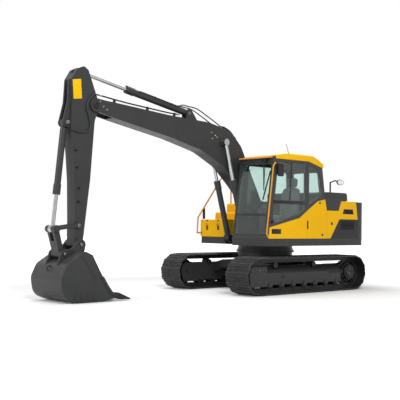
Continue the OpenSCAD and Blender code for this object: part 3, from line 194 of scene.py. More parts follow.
def forged(name, base, bright, rough, edge_mm=4):
    """Dull forged or cast steel: pitted, with bright edges that are worn steel and a painted highlight."""
    s = Shader(name)
    edge, rounded = s.edges(edge_mm * MM)
    pits = s.noise(120.0, detail=6.0, rough=0.7)
    tone = s.mix(s.spread(s.noise(6.0, detail=6.0, rough=0.6)), shade(base, 0.72), shade(base, 1.25))
    # Bright edges: worn steel, and a painted highlight along the edges
    scuffs_and_highlights = s.ramp(s.noise(45.0, detail=5.0), 0.35, 0.6, 0.0, 0.7)
    tone = s.mix(s.math("MULTIPLY", edge, scuffs_and_highlights), tone, colour(*bright))
    s.put(s.main.inputs["Base Color"], tone)
    s.main.inputs["Metallic"].default_value = 0.3
    s.main.inputs["Specular IOR Level"].default_value = 0.3
    s.put(s.main.inputs["Roughness"], s.spread(pits, rough - 0.08, rough + 0.12))
    s.put(s.main.inputs["Normal"], s.bump(pits, strength=0.35, distance=0.0015, normal=rounded))
    return s.material


def polished(name, base, rough, turned):
    """Bright steel with fine turning marks along one axis."""
    s = Shader(name)
    marks = s.noise(60.0, detail=3.0, rough=0.6, place=s.stretch(*turned))
    s.put(s.main.inputs["Base Color"], s.mix(s.spread(marks), shade(base, 0.86), colour(*base)))
    s.main.inputs["Metallic"].default_value = 1.0
    s.put(s.main.inputs["Roughness"], s.spread(s.noise(12.0, detail=4.0), rough * 0.8, rough * 1.3))
    s.put(s.main.inputs["Normal"], s.bump(marks, strength=0.08, distance=0.0006))
    return s.material


def moulded(name, base, rough):
    """Grained plastic or rubber with slightly rubbed edges."""
    s = Shader(name)
    edge, rounded = s.edges(4 * MM)
    tone = s.mix(s.spread(s.noise(5.0, detail=5.0)), shade(base, 0.85), shade(base, 1.15))
    rubbed = colour(*[min(1, c * 2.2 + 0.02) for c in base])
    s.put(s.main.inputs["Base Color"], s.mix(s.math("MULTIPLY", edge, 0.25), tone, rubbed))
    s.put(s.main.inputs["Roughness"], s.spread(s.noise(20.0, detail=4.0), rough - 0.05, rough + 0.08))
    grain = s.bump(s.noise(300.0, detail=3.0), strength=0.25, distance=0.0008, normal=rounded)
    s.put(s.main.inputs["Normal"], grain)
    return s.material


def woven(name, base, thread):
    """Seat cloth: crossing threads with a soft sheen."""
    s = Shader(name)
    waves = []
    for direction in ("X", "Y"):
        settings = {"bands_direction": direction}
        wave = s.add("ShaderNodeTexWave", settings, Scale=190.0, Distortion=0.6, Detail=1.0)
        s.put(wave.inputs["Vector"], s.place)
        waves.append(wave.outputs["Fac"])
    weave = s.math("MAXIMUM", *waves)
    tone = s.mix(s.ramp(weave, 0.2, 0.9), shade(base, 0.6), colour(*thread))
    faded = s.ramp(s.noise(8.0, detail=5.0), 0.35, 0.75, 0.0, 0.35)
    s.put(s.main.inputs["Base Color"], s.mix(faded, tone, colour(*base)))
    s.main.inputs["Roughness"].default_value = 0.92
    s.main.inputs["Sheen Weight"].default_value = 0.35
    s.put(s.main.inputs["Normal"], s.bump(weave, strength=0.5, distance=0.001))
    return s.material


def pane(name, tint):
    """Tinted safety glass that lets the lamps through."""
    s = Shader(name)
    film = s.ramp(s.noise(1.4, detail=4.0), 0.35, 0.75, 0.0, 0.015)
    s.main.inputs["Base Color"].default_value = colour(*tint)
    s.main.inputs["Transmission Weight"].default_value = 1.0
    s.main.inputs["IOR"].default_value = 1.45
    s.put(s.main.inputs["Roughness"], film)
    clear = s.add("ShaderNodeBsdfTransparent", Color=colour(*[math.sqrt(c) for c in tint]))
    swap = s.add("ShaderNodeMixShader")
    s.put(swap.inputs[0], s.add("ShaderNodeLightPath").outputs["Is Shadow Ray"])
    s.put(swap.inputs[1], s.main.outputs["BSDF"])
    s.put(swap.inputs[2], clear.outputs["BSDF"])
    s.put(s.output.inputs["Surface"], swap.outputs[0])
    return s.material


# Each paint's second colour is its lighter edges: rubbed paint with a painted edge highlight
CHARCOAL = paint("charcoal paint", (0.03, 0.0305, 0.0315), (0.12, 0.12, 0.12), rough=0.4, coat=0.04,
                 dust=0.08)
BLACK = paint("black paint", (0.01, 0.0104, 0.011), (0.06, 0.06, 0.06), rough=0.4, coat=0.06, dust=0.05)
YELLOW = paint("yellow paint", (0.85, 0.46, 0.002), (0.9, 0.62, 0.15), rough=0.36, coat=0.03, dust=0.03,
               edge_mm=5, shine=0.1, vary=0.03)
CAB_FRAME = paint("cab frame paint", (0.026, 0.0265, 0.0275), (0.1, 0.1, 0.1), rough=0.38, coat=0.06,
                  dust=0.05, edge_mm=6, shine=0.35)
# The orange paint slot gets a darker, redder copy of the yellow paint: yellow with painted shade
YELLOW_WITH_PAINTED_SHADE = paint("yellow paint with painted shade", (0.66, 0.27, 0.01), (0.75, 0.45, 0.2), rough=0.4, coat=0.1, dust=0.05,
               edge_mm=3)
# Track steel: wide bright edges on the shoes, worn steel with a painted highlight
TRACK = forged("track steel", (0.022, 0.022, 0.022), (0.38, 0.38, 0.38), rough=0.42, edge_mm=9)
PIN_STEEL = polished("pin steel", (0.16, 0.16, 0.16), rough=0.36, turned=(1, 8, 1))
CHROME = polished("rod chrome", (0.42, 0.43, 0.44), rough=0.2, turned=(1, 1, 6))
MIRROR = polished("mirror glass", (0.85, 0.87, 0.88), rough=0.03, turned=(1, 1, 1))
GLASS = pane("tinted glass", (0.72, 0.86, 0.82))
CLOTH = woven("seat cloth", (0.03, 0.031, 0.033), thread=(0.06, 0.063, 0.066))
PLASTIC = moulded("cab plastic", (0.045, 0.048, 0.05), rough=0.6)
RUBBER = moulded("black rubber", (0.012, 0.012, 0.0125), rough=0.6)
BRASS = polished("plated fittings", (0.5, 0.44, 0.3), rough=0.3, turned=(1, 6, 1))
LATCH = forged("latch steel", (0.12, 0.06, 0.02), (0.3, 0.2, 0.1), rough=0.45)
BUCKET_EDGE = forged("bucket edge steel", (0.03, 0.03, 0.03), (0.26, 0.26, 0.26), rough=0.45)

SLOT_MATERIALS = {
    "charcoal_paint": CHARCOAL, "black_paint": BLACK, "yellow_paint": YELLOW, "orange_paint": YELLOW_WITH_PAINTED_SHADE,
    "track_steel": TRACK, "bare_steel": PIN_STEEL, "rod_chrome": CHROME, "tinted_glass": GLASS,
    "seat_fabric": CLOTH, "cab_plastic": PLASTIC,
}
# The cab's pillars are a little lighter than the other black pieces
NODE_MATERIALS = {name: CAB_FRAME for name in ("cab_front_frame", "cab_door_frame", "cab_quarter_frame")}
for part in frame["record"]["subparts"]:
    mesh = nodes[part["node"]].data
    mesh.materials.clear()
    mesh.materials.append(NODE_MATERIALS.get(part["node"], SLOT_MATERIALS[part["material_slot"]]))


# Pieces: how they are built

def piece(name, mesh, material, body, smooth_deg=38):
    """Turns a finished mesh into an object that moves with a body, or with none."""
    data = bpy.data.meshes.new(name)
    bmesh.ops.recalc_face_normals(mesh, faces=mesh.faces)
    mesh.to_mesh(data)
    mesh.free()
    data.materials.append(material)
    data.shade_smooth()
    data.set_sharp_from_angle(angle=math.radians(smooth_deg))
    made = bpy.data.objects.new(name, data)
    bpy.context.collection.objects.link(made)
    if body:
        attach(made, body)
    return made


def around(count, radius, turn=0.0):
    """Points evenly around a circle, as pairs."""
    angles = [turn + 2 * math.pi * k / count for k in range(count)]
    return [(radius * math.cos(a), radius * math.sin(a)) for a in angles]


def arc(centre, halves, start_deg, step_deg, count):
    """Points along an ellipse in x and z."""
    angles = [math.radians(start_deg + step_deg * k) for k in range(count)]
    return [(centre[0] + halves[0] * math.cos(a), centre[1] + halves[1] * math.sin(a)) for a in angles]


def oblong(half_x, half_z):
    """Outline of a rectangle about its middle."""
    return [(-half_x, -half_z), (half_x, -half_z), (half_x, half_z), (-half_x, half_z)]


def strip(a, b, half):
    """Outline of a straight strip from a to b."""
    a, b = Vector(a), Vector(b)
    ahead = (b - a).normalized()
    out = Vector((-ahead.y, ahead.x)) * half
    return [tuple(p) for p in (a - out, b - out, b + out, a + out)]


def moved(outline, x, z):
    return [(x + dx, z + dz) for dx, dz in outline]


def bridge(mesh, rings):
    """Closed skin over rings of equally many points."""
    rows = [[mesh.verts.new(p) for p in ring] for ring in rings]
    count = len(rows[0])
    for low, high in zip(rows, rows[1:]):
        for k in range(count):
            mesh.faces.new((low[k], low[(k + 1) % count], high[(k + 1) % count], high[k]))
    mesh.faces.new(rows[0][::-1])
    mesh.faces.new(rows[-1])


def circle(place, axis, radius, sides, turn=0.0):
    first = axis.orthogonal().normalized()
    second = axis.cross(first)
    return [place + first * u + second * v for u, v in around(sides, radius, turn)]


def turned_piece(mesh, place, axis, profile, sides, turn=0.0):
    """Turned form: radius and height, in millimetres, of each ring along the axis."""
    axis = axis.normalized()
    bridge(mesh, [circle(place + axis * h * MM, axis, r * MM, sides, turn) for r, h in profile])


def bolt(mesh, place, axis, size):
    """Hexagon bolt head on its washer; size is the washer's radius in millimetres."""
    washer = [(size, -1), (size, size * 0.12), (size * 0.93, size * 0.2)]
    head = [(size * 0.78, 0), (size * 0.78, size * 0.68), (size * 0.62, size * 0.82)]
    turned_piece(mesh, place, axis, washer, sides=14)
    turned_piece(mesh, place, axis, head, sides=6, turn=0.3)


def plate(mesh, outline, depth, bevel_mm):
    """Flat plate: its outline moved along depth, with rounded edges."""
    low = [mesh.verts.new(p) for p in outline]
    high = [mesh.verts.new(p + depth) for p in outline]
    count = len(low)
    faces = [mesh.faces.new(low[::-1]), mesh.faces.new(high)]
    for k in range(count):
        faces.append(mesh.faces.new((low[k], low[(k + 1) % count], high[(k + 1) % count], high[k])))
    edges = list({edge for face in faces for edge in face.edges})
    bmesh.ops.bevel(mesh, geom=edges, offset=bevel_mm * MM, segments=2, profile=0.6, affect="EDGES",
                    clamp_overlap=True)


def block(mesh, low, high, bevel_mm):
    """Block between two corners, with rounded edges."""
    corners = ((low.x, low.y), (high.x, low.y), (high.x, high.y), (low.x, high.y))
    plate(mesh, [Vector((x, y, low.z)) for x, y in corners], Vector((0, 0, high.z - low.z)), bevel_mm)


def side_plate(mesh, outline, y_low, y_high, bevel_mm):
    """Plate upright along the machine: outline in x and z, between two distances from its middle."""
    plate(mesh, [at(x, y_low, z) for x, z in outline], Vector((0, (y_high - y_low) * MM, 0)), bevel_mm)


def through(points, steps=8):
    """Smooth curve through points."""
    full = [points[0] * 2 - points[1]] + list(points) + [points[-1] * 2 - points[-2]]
    made = []
    for a, b, c, d in zip(full, full[1:], full[2:], full[3:]):
        slope, curve, twist = c - a, 2 * a - 5 * b + 4 * c - d, 3 * b - a - 3 * c + d
        for k in range(steps):
            t = k / steps
            made.append(0.5 * (2 * b + slope * t + curve * t * t + twist * t ** 3))
    made.append(points[-1])
    return made


BEND_STEPS = 6


def bent(points, radius_mm):
    """Straight runs between points with round bends."""
    made = [points[0]]
    for a, b, c in zip(points, points[1:], points[2:]):
        reach = min(radius_mm * MM, (b - a).length * 0.45, (c - b).length * 0.45)
        start, end = b + (a - b).normalized() * reach, b + (c - b).normalized() * reach
        for k in range(BEND_STEPS + 1):
            t = k / BEND_STEPS
            made.append(start * (1 - t) ** 2 + b * 2 * t * (1 - t) + end * t * t)
    made.append(points[-1])
    return made


def sweep(mesh, points, radius_mm, sides=12):
    """Round tube along points."""
    rings = []
    across = None
    for k, place in enumerate(points):
        ahead = (points[min(k + 1, len(points) - 1)] - points[max(k - 1, 0)]).normalized()
        across = ahead.orthogonal() if across is None else across
        across = (across - ahead * across.dot(ahead)).normalized()
        other = ahead.cross(across)
        rings.append([place + across * u + other * v for u, v in around(sides, radius_mm * MM)])
    bridge(mesh, rings)


def weld(mesh, a, b):
    """Weld bead from a to b, with its ripples."""
    radius, pitch, waist = 5 * MM, 9 * MM, 0.82
    steps = max(4, int((b - a).length / pitch) * 2)
    ahead = (b - a).normalized()
    rings = []
    for k in range(steps + 1):
        rings.append(circle(a + (b - a) * (k / steps), ahead, radius * (1.0 if k % 2 else waist), 8))
    bridge(mesh, rings)


def signed_power(value, power):
    return math.copysign(abs(value) ** power, value)


def pillow(mesh, centre, axes, halves, square, channels, waist):
    """Crowned cushion: half sizes along three axes; sewn channels at shares of the second axis."""
    points_around, rows_over = 56, 28
    crown, channel_width, channel_depth = 0.3, 0.035, 0.16
    rows = []
    for j in range(1, rows_over):
        high = math.pi * (j / rows_over - 0.5)
        ring = []
        for k in range(points_around):
            turn = 2 * math.pi * k / points_around
            u = signed_power(math.cos(high), square) * signed_power(math.cos(turn), square)
            v = signed_power(math.cos(high), square) * signed_power(math.sin(turn), square)
            w = signed_power(math.sin(high), square + crown)
            u *= 1 - waist * (1 - v * v)
            v *= 1 - waist * (1 - u * u)
            sewn = sum(math.exp(-((v - c) / channel_width) ** 2) for c in channels)
            spot = (u, v, w - sewn * max(0.0, w) * channel_depth)
            off = sum((axis * half * MM * s for axis, half, s in zip(axes, halves, spot)), Vector())
            ring.append(centre + off)
        rows.append(ring)
    bridge(mesh, rows)


# Distance from the machine's middle, in metres, that lies outside all of its sides
OUTSIDE = 3.0


def on_face(node, x, z, way=1):
    """Place on a node's side at x and z, met from the machine's left or right."""
    start = at(x, 0, z) + LEFT * way * OUTSIDE
    hit, place, _, _ = nodes[node].ray_cast(start, -LEFT * way)
    return place if hit else None


# Tracks: four bolts on each shoe

TUMBLER_LEN = 2990
IDLER_X = TUMBLER_LEN / 2
SPROCKET_X = -TUMBLER_LEN / 2
PATH_R = 303
SHOE_COUNT = 46
SHOE_FACE = 50.4
AXLE_Z = 375
TRACK_Y = 995
ARC_LEN = math.pi * PATH_R
PATH_LEN = 2 * (TUMBLER_LEN + ARC_LEN)
SHOE_BOLT = [(14, -2), (14, 8), (11, 11)]
SHOE_BOLT_Y = 55
SHOE_BOLT_SHARE = 0.21


def track_point(s):
    """Place on the pins' path around the axles' middle: x and z."""
    s %= PATH_LEN
    if s < TUMBLER_LEN:
        return Vector((s + SPROCKET_X, PATH_R))
    if s < TUMBLER_LEN + ARC_LEN:
        a = math.pi / 2 - (s - TUMBLER_LEN) / PATH_R
        return Vector((IDLER_X + PATH_R * math.cos(a), PATH_R * math.sin(a)))
    if s < 2 * TUMBLER_LEN + ARC_LEN:
        return Vector((IDLER_X - (s - TUMBLER_LEN - ARC_LEN), -PATH_R))
    a = 1.5 * math.pi - (s - 2 * TUMBLER_LEN - ARC_LEN) / PATH_R
    return Vector((PATH_R * math.cos(a) + SPROCKET_X, PATH_R * math.sin(a)))


shoe_bolts = bmesh.new()
for k in range(SHOE_COUNT):
    first, second = [track_point(pin * PATH_LEN / SHOE_COUNT) for pin in (k, k + 1)]
    run = second - first
    out = Vector((-run.y, run.x)).normalized()
    for share in (-SHOE_BOLT_SHARE, SHOE_BOLT_SHARE):
        spot = (first + second) / 2 + run * share + out * SHOE_FACE
        for middle in (TRACK_Y, -TRACK_Y):
            for y in (middle - SHOE_BOLT_Y, middle + SHOE_BOLT_Y):
                place = at(spot.x, y, spot.y + AXLE_Z)
                turned_piece(shoe_bolts, place, Vector((out.x, 0, out.y)), SHOE_BOLT, sides=6)
piece("shoe_bolts", shoe_bolts, TRACK, "undercarriage")

# Bolts of the final drives and the idlers' guards

# Each drive's bolt circles: count, radius, distance outside the track's middle and bolt size
DRIVE_COVER_OUT = 158
DRIVE_RINGS = ((12, 180, 63, 12), (6, 95, DRIVE_COVER_OUT, 10))
DRIVE_PLUG = [(18, -1), (18, 4), (12, 5)]
GUARD_BOLT_XS = [IDLER_X + dx for dx in (-330, -150, 60)]
GUARD_BOLT_ZS = (245, 480)

drive_bolts = bmesh.new()
for way, label in WAY_NAMES:
    for count, radius, out, size in DRIVE_RINGS:
        for dx, dz in around(count, radius):
            bolt(drive_bolts, at(SPROCKET_X + dx, way * (TRACK_Y + out), AXLE_Z + dz), LEFT * way, size)
    plug = at(SPROCKET_X + 45, way * (TRACK_Y + DRIVE_COVER_OUT), AXLE_Z - 20)
    turned_piece(drive_bolts, plug, LEFT * way, DRIVE_PLUG, sides=16)
    for x in GUARD_BOLT_XS:
        for z in GUARD_BOLT_ZS:
            spot = on_face("track_frame_" + label, x, z, way)
            if spot:
                bolt(drive_bolts, spot, LEFT * way, size=15)
piece("drive_bolts", drive_bolts, PIN_STEEL, "undercarriage")

# Swing ring: its bolts

RING_BOLTS = 36
RING_R = 612
RING_TOP_Z = 832

ring_bolts = bmesh.new()
for x, y in around(RING_BOLTS, RING_R):
    bolt(ring_bolts, at(x, y, RING_TOP_Z), UP, size=11)
piece("ring_bolts", ring_bolts, BLACK, "undercarriage")

# Track frames: caps of the bottom rollers, a half round cover and a guarded grease pipe

FRAME_SIDE = 1127
ROLLER_COUNT = 7
ROLLER_PITCH = 345
CAP_INNER = 1086
CAP = [(-78, 192), (-60, 132), (-40, 126), (40, 126), (60, 132), (78, 192)]
CAP_BOLT_X, CAP_BOLT_Z = 48, 162

caps = bmesh.new()
for way in WAYS:
    for k in range(ROLLER_COUNT):
        x = (k - (ROLLER_COUNT - 1) / 2) * ROLLER_PITCH
        side_plate(caps, moved(CAP, x, 0), way * CAP_INNER, way * FRAME_SIDE, bevel_mm=6)
        for dx in (-CAP_BOLT_X, CAP_BOLT_X):
            bolt(caps, at(x + dx, way * FRAME_SIDE, CAP_BOLT_Z), LEFT * way, size=11)
piece("roller_collars", caps, TRACK, "undercarriage")

HALF_ROUND = arc((663, 325), (75, 46), start_deg=0, step_deg=180 / 14, count=15)
GREASE_PIPE = [(-800, 1, 398), (-800, 29, 398), (-1215, 29, 398), (-1215, 1, 398)]

frame_trim = bmesh.new()
side_plate(frame_trim, HALF_ROUND, FRAME_SIDE + 2, FRAME_SIDE + 6, bevel_mm=1.5)
sweep(frame_trim, bent([at(x, FRAME_SIDE + out, z) for x, out, z in GREASE_PIPE], radius_mm=22), radius_mm=9)
piece("frame_trim", frame_trim, BLACK, "undercarriage")

# Boom: pipes along its back, their fittings and the hoses that carry on to the arm

BOOM_SIDE = 160
BOOM_BACK = [(4550, 3576), (3900, 3530), (2900, 3455), (1850, 3415), (1230, 3290), (925, 2987), (220, 1712)]
PIPE_R = 14
PIPE_OFF = 45
PIPE_TIP_OFF = 70
PIPE_BEND_R = 260
BACK_PIPE_Y = 80
FRONT_PIPE_Y = 140
CLAMP_HALF_LEN, CLAMP_HALF_WIDTH, CLAMP_OVER = 24, 16, 18
PIPE_END = [(14.5, -26), (17, -24), (17, 10), (15.5, 14), (15.5, 30)]
SIDE_FITTING = [(15, -2), (15, 8), (9, 9), (9, 22), (6, 24)]
SIDE_FITTING_SPOTS = ((1781, 3220), (1679, 3167), (1628, 3135), (1757, 3099))
TIP_BOLT_SPOTS = ((4403, 3449), (4330, 3400), (4480, 3530))


def edge_point(k, share, off):
    """Point outside the boom's back: share along its k-th edge, distance from it."""
    a, b = Vector(BOOM_BACK[k]), Vector(BOOM_BACK[k + 1])
    ahead = (b - a).normalized()
    return a + (b - a) * share + Vector((ahead.y, -ahead.x)) * off


def corner_point(k, off):
    """Corner of the line that runs outside the boom's back."""
    before = (Vector(BOOM_BACK[k]) - Vector(BOOM_BACK[k - 1])).normalized()
    after = (Vector(BOOM_BACK[k + 1]) - Vector(BOOM_BACK[k])).normalized()
    first, second = Vector((before.y, -before.x)), Vector((after.y, -after.x))
    return Vector(BOOM_BACK[k]) + (first + second) * off / (1 + first.dot(second))


back_run = [edge_point(3, 0.6, PIPE_OFF), corner_point(4, PIPE_OFF), corner_point(5, PIPE_OFF),
            edge_point(5, 0.35, PIPE_OFF)]
front_run = [edge_point(2, 0.25, PIPE_OFF), corner_point(2, PIPE_OFF), corner_point(1, PIPE_OFF),
             edge_point(0, 0.12, PIPE_TIP_OFF)]
# Each run with its distance from the middle and its clamps: edge of the boom's back and share along it
PIPE_RUNS = ((back_run, BACK_PIPE_Y, ((5, 0.2), (4, 0.5), (3, 0.78))),
             (front_run, FRONT_PIPE_Y, ((2, 0.15), (1, 0.5), (0, 0.6))))

pipes = bmesh.new()
fittings = bmesh.new()
for way in WAYS:
    for run, y, clamps in PIPE_RUNS:
        line = bent([at(p.x, way * y, p.y) for p in run], PIPE_BEND_R)
        sweep(pipes, line, PIPE_R, sides=14)
        for k, share in clamps:
            low, high = edge_point(k, share, 0.3), edge_point(k, share, PIPE_OFF)
            rise = (high - low).normalized()
            flat = Vector((rise.y, -rise.x)) * CLAMP_HALF_LEN
            top = high + rise * CLAMP_OVER
            clamp = [tuple(p) for p in (low - flat, low + flat, top + flat, top - flat)]
            side_plate(pipes, clamp, way * y - CLAMP_HALF_WIDTH, way * y + CLAMP_HALF_WIDTH, bevel_mm=4)
            bolt(fittings, at(top.x, way * y, top.y), Vector((rise.x, 0, rise.y)), size=10)
        for place, near in ((line[0], line[1]), (line[-1], line[-2])):
            turned_piece(fittings, place, near - place, PIPE_END, sides=6)
pipe_set = piece("boom_pipe_set", pipes, BLACK, "boom")
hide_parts("boom_pipes")
for x, z in SIDE_FITTING_SPOTS:
    for way in WAYS:
        turned_piece(fittings, at(x, way * BOOM_SIDE, z), LEFT * way, SIDE_FITTING, sides=6)
for x, z in TIP_BOLT_SPOTS:
    for way in WAYS:
        bolt(fittings, at(x, way * BOOM_SIDE, z), LEFT * way, size=13)
piece("boom_fittings", fittings, BRASS, "boom")


def hose(name, points, radius_mm):
    """Rubber hose from a point on one body to a point on the next."""
    mesh = bmesh.new()
    sweep(mesh, through(points), radius_mm)
    made = piece(name, mesh, RUBBER, None, smooth_deg=60)
    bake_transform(made)


TIP_HOSE = [(4580, 3644), (4685, 3571), (4745, 3423), (4690, 3219), (4660, 3100), (4715, 2985), (4881, 2953),
            (5060, 2985)]
CYLINDER_HOSE = [(1600, 80, 3445), (1850, 80, 3560), (2104, 78, 3664), (2328, 74, 3690), (2470, 70, 3700),
                 (2560, 64, 3672)]
TIP_HOSE_R, CYLINDER_HOSE_R = 13, 12

front_end, back_end = front_run[-1], back_run[0]
for way, label in WAY_NAMES:
    y = way * FRONT_PIPE_Y
    route = [at(front_end.x + 20, y, front_end.y)] + [at(x, y, z) for x, z in TIP_HOSE]
    hose("tip_hose_" + label, route, TIP_HOSE_R)
for way, label in WAY_NAMES:
    start = at(back_end.x + 10, way * BACK_PIPE_Y, back_end.y)
    route = [start] + [at(x, way * y, z) for x, y, z in CYLINDER_HOSE]
    hose("cylinder_hose_" + label, route, CYLINDER_HOSE_R)

# Arm cylinder: a feed pipe on each side of its barrel

BARREL_FOOT, BARREL_EYE = Vector((2290, 3565)), Vector((4790, 4035))
barrel_ahead = (BARREL_EYE - BARREL_FOOT).normalized()
barrel_up = Vector((-barrel_ahead.y, barrel_ahead.x))
FEED_UP, FEED_OUT = 40, 78
# Distance along the barrel, above its axis and out from the middle
FEED_ROUTE = [(250, 62, 64), (300, FEED_UP, FEED_OUT), (1180, FEED_UP, FEED_OUT), (1260, FEED_UP, 70),
              (1290, 30, 50)]
FEED_CLIP = [(13, 0), (15, 3), (15, 22), (13, 25)]
FEED_CLIP_STARTS = (468, 888)


def on_barrel(along, above, y):
    place = BARREL_FOOT + barrel_ahead * along + barrel_up * above
    return at(place.x, y, place.y)


feed = bmesh.new()
for way in WAYS:
    route = [on_barrel(along, above, way * out) for along, above, out in FEED_ROUTE]
    sweep(feed, bent(route, radius_mm=40), radius_mm=10)
    for along in FEED_CLIP_STARTS:
        clip_axis = Vector((barrel_ahead.x, 0, barrel_ahead.y))
        turned_piece(feed, on_barrel(along, FEED_UP, way * FEED_OUT), clip_axis, FEED_CLIP, sides=14)
piece("arm_feed_pipes", feed, BLACK, "arm_barrel")

# Arm: blank plate on its left side, and clips on both

ARM_SIDE = 120
ARM_PLATE = [(4838, 3546), (5010, 3521), (5035, 3855), (4865, 3888)]
CLIP_FOOT = [(-26, -20), (26, -14), (26, 14), (-26, 20)]
CLIP_EAR = [(-24, -18), (-12, -18), (-12, 18), (-24, 18)]
CLIP_SPOTS = ((4955, 2633), (4925, 2333), (4885, 1969), (4890, 1735))

arm_plate = bmesh.new()
side_plate(arm_plate, ARM_PLATE, ARM_SIDE, ARM_SIDE + 3, bevel_mm=1)
piece("arm_plate", arm_plate, YELLOW, "arm")

arm_clips = bmesh.new()
for way in WAYS:
    for x, z in CLIP_SPOTS:
        side_plate(arm_clips, moved(CLIP_FOOT, x, z), way * ARM_SIDE, way * (ARM_SIDE + 12), bevel_mm=3)
        side_plate(arm_clips, moved(CLIP_EAR, x, z), way * (ARM_SIDE + 10), way * (ARM_SIDE + 32), bevel_mm=3)
        bolt(arm_clips, at(x + 10, way * (ARM_SIDE + 11), z), LEFT * way, size=10)
piece("arm_clips", arm_clips, BLACK, "arm")

# Welds across the sides of the boom and the arm

BOOM_WELDS = (((2689, 3436), (2683, 3010)), ((1905, 3412), (2030, 2852)))
ARM_WELDS = (((4962, 2108), (4646, 2122)), ((5036, 2960), (4578, 2960)))
for body, side, runs in (("boom", BOOM_SIDE, BOOM_WELDS), ("arm", ARM_SIDE, ARM_WELDS)):
    beads = bmesh.new()
    for way in WAYS:
        for (x_from, z_from), (x_to, z_to) in runs:
            weld(beads, at(x_from, way * side, z_from), at(x_to, way * side, z_to))
    piece(body + "_welds", beads, CHARCOAL, body, smooth_deg=60)

# Pins: a bolted collar at the boom's tip, and keepers on the arm's and the bucket's pins

TIP_PIN = (4560, 3458)
TIP_COLLAR_Y = 172
TIP_COLLAR = [(62, -6), (62, 4), (57, 8), (46, 9)]
KEEPER = [(30, -3), (30, 2), (26, 5), (12, 5.5)]
KEEPER_NIPPLE = [(7, 3), (7, 12), (5, 14)]
# Each set of keepers: piece, body, distance from the middle and pins
KEEPER_SETS = (("arm_pin_collars", "arm", 152, ((4870, 1322), (5120, 3105))),
               ("bucket_pin_collars", "bucket", 224, ((4862, 988), (5190, 822))))

collars = bmesh.new()
for way in WAYS:
    spot = at(TIP_PIN[0], way * TIP_COLLAR_Y, TIP_PIN[1])
    turned_piece(collars, spot, LEFT * way, TIP_COLLAR, sides=28)
    for dx, dz in around(3, radius=40, turn=0.4):
        bolt(collars, spot + Vector((dx, way * 8, dz)) * MM, LEFT * way, size=9)
piece("tip_pin_collars", collars, BLACK, "boom")
for label, body, y, pins in KEEPER_SETS:
    keepers = bmesh.new()
    for x, z in pins:
        for way in WAYS:
            turned_piece(keepers, at(x, way * y, z), LEFT * way, KEEPER, sides=24)
            turned_piece(keepers, at(x, way * y, z), LEFT * way, KEEPER_NIPPLE, sides=10)
    piece(label, keepers, PIN_STEEL, body)

# Bucket: adaptors behind the teeth, side cutters, wear strips and a lifting eye

BUCKET_SIDE = 500
TOOTH_COUNT = 5
TOOTH_SPAN = 880
ADAPTOR = [(4180, 58), (4200, 142), (4300, 158), (4395, 134), (4400, 108), (4300, 96)]
ADAPTOR_HALF = 30
ADAPTOR_PIN_SPOT = (4216, 100)
ADAPTOR_PIN_HALF = 38
ADAPTOR_PIN = [(9, 0), (13, 2), (13, 74), (9, 76)]
SIDE_EDGE = [(5037, 806), (5010, 824), (4718, 404), (4744, 389)]
SIDE_CUTTER = [(4640, 430), (4590, 446), (4420, 190), (4330, 92), (4390, 88), (4470, 170)]
CUTTER_BOLTS = ((4595, 408), (4500, 268), (4415, 150))
HEEL_GUARD = [(-34, 36), (34, 36), (10, 170), (-58, 170)]
HEEL_GUARD_XS = (4770, 4895, 5020, 5145)
WEAR_STRIP = [(4640, 8), (5125, 3), (5125, 1.5), (4640, 2)]
WEAR_STRIP_YS = (-330, -110, 110, 330)
WEAR_STRIP_HALF = 30
LIFTING_EYE = arc((5374, 585), (42, 42), start_deg=-70, step_deg=20, count=11)

bucket_trim = bmesh.new()
for k in range(TOOTH_COUNT):
    y = (k / (TOOTH_COUNT - 1) - 0.5) * TOOTH_SPAN
    side_plate(bucket_trim, ADAPTOR, y - ADAPTOR_HALF, y + ADAPTOR_HALF, bevel_mm=6)
    pin_end = at(ADAPTOR_PIN_SPOT[0], y - ADAPTOR_PIN_HALF, ADAPTOR_PIN_SPOT[1])
    turned_piece(bucket_trim, pin_end, LEFT, ADAPTOR_PIN, sides=12)
for way in WAYS:
    side_plate(bucket_trim, SIDE_EDGE, way * BUCKET_SIDE, way * (BUCKET_SIDE + 7), bevel_mm=2)
    side_plate(bucket_trim, SIDE_CUTTER, way * BUCKET_SIDE, way * (BUCKET_SIDE + 12), bevel_mm=3)
    for x, z in CUTTER_BOLTS:
        bolt(bucket_trim, at(x, way * (BUCKET_SIDE + 11), z), LEFT * way, size=15)
    for x in HEEL_GUARD_XS:
        guard = moved(HEEL_GUARD, x, 0)
        side_plate(bucket_trim, guard, way * BUCKET_SIDE, way * (BUCKET_SIDE + 9), bevel_mm=3)
for y in WEAR_STRIP_YS:
    side_plate(bucket_trim, WEAR_STRIP, y - WEAR_STRIP_HALF, y + WEAR_STRIP_HALF, bevel_mm=0.6)
sweep(bucket_trim, [at(x, 0, z) for x, z in LIFTING_EYE], radius_mm=11)
piece("bucket_trim", bucket_trim, BUCKET_EDGE, "bucket")

# Cab: the windscreen's gasket and wiper

SCREEN_FOOT, SCREEN_TOP = Vector((1310, 1110)), Vector((1105, 2690))
screen_rise = (SCREEN_TOP - SCREEN_FOOT).normalized()
screen_out = Vector((screen_rise.y, 0, -screen_rise.x))


def on_screen(y, z, off):
    """Place on the windscreen's plane, off millimetres ahead of it."""
    share = (z - SCREEN_FOOT.y) / (SCREEN_TOP.y - SCREEN_FOOT.y)
    return at(SCREEN_FOOT.x + (SCREEN_TOP.x - SCREEN_FOOT.x) * share, y, z) + screen_out * off * MM


PANE_RIGHT, PANE_LEFT = 364, 1203
# Foot and head of the lower and the upper pane
PANES = ((1185, 1563), (1597, 2602))

gasket = bmesh.new()
for low, high in PANES:
    corners = [(PANE_RIGHT, low), (PANE_LEFT, low), (PANE_LEFT, high), (PANE_RIGHT, high)]
    corners = [on_screen(y, z, 1) for y, z in corners]
    # From the upper left corner by the right side to the lower left corner
    loop = bent(corners + corners[:2], radius_mm=40)[BEND_STEPS + 2:]
    sweep(gasket, loop, radius_mm=7, sides=8)
piece("screen_gasket", gasket, RUBBER, "upper", smooth_deg=60)

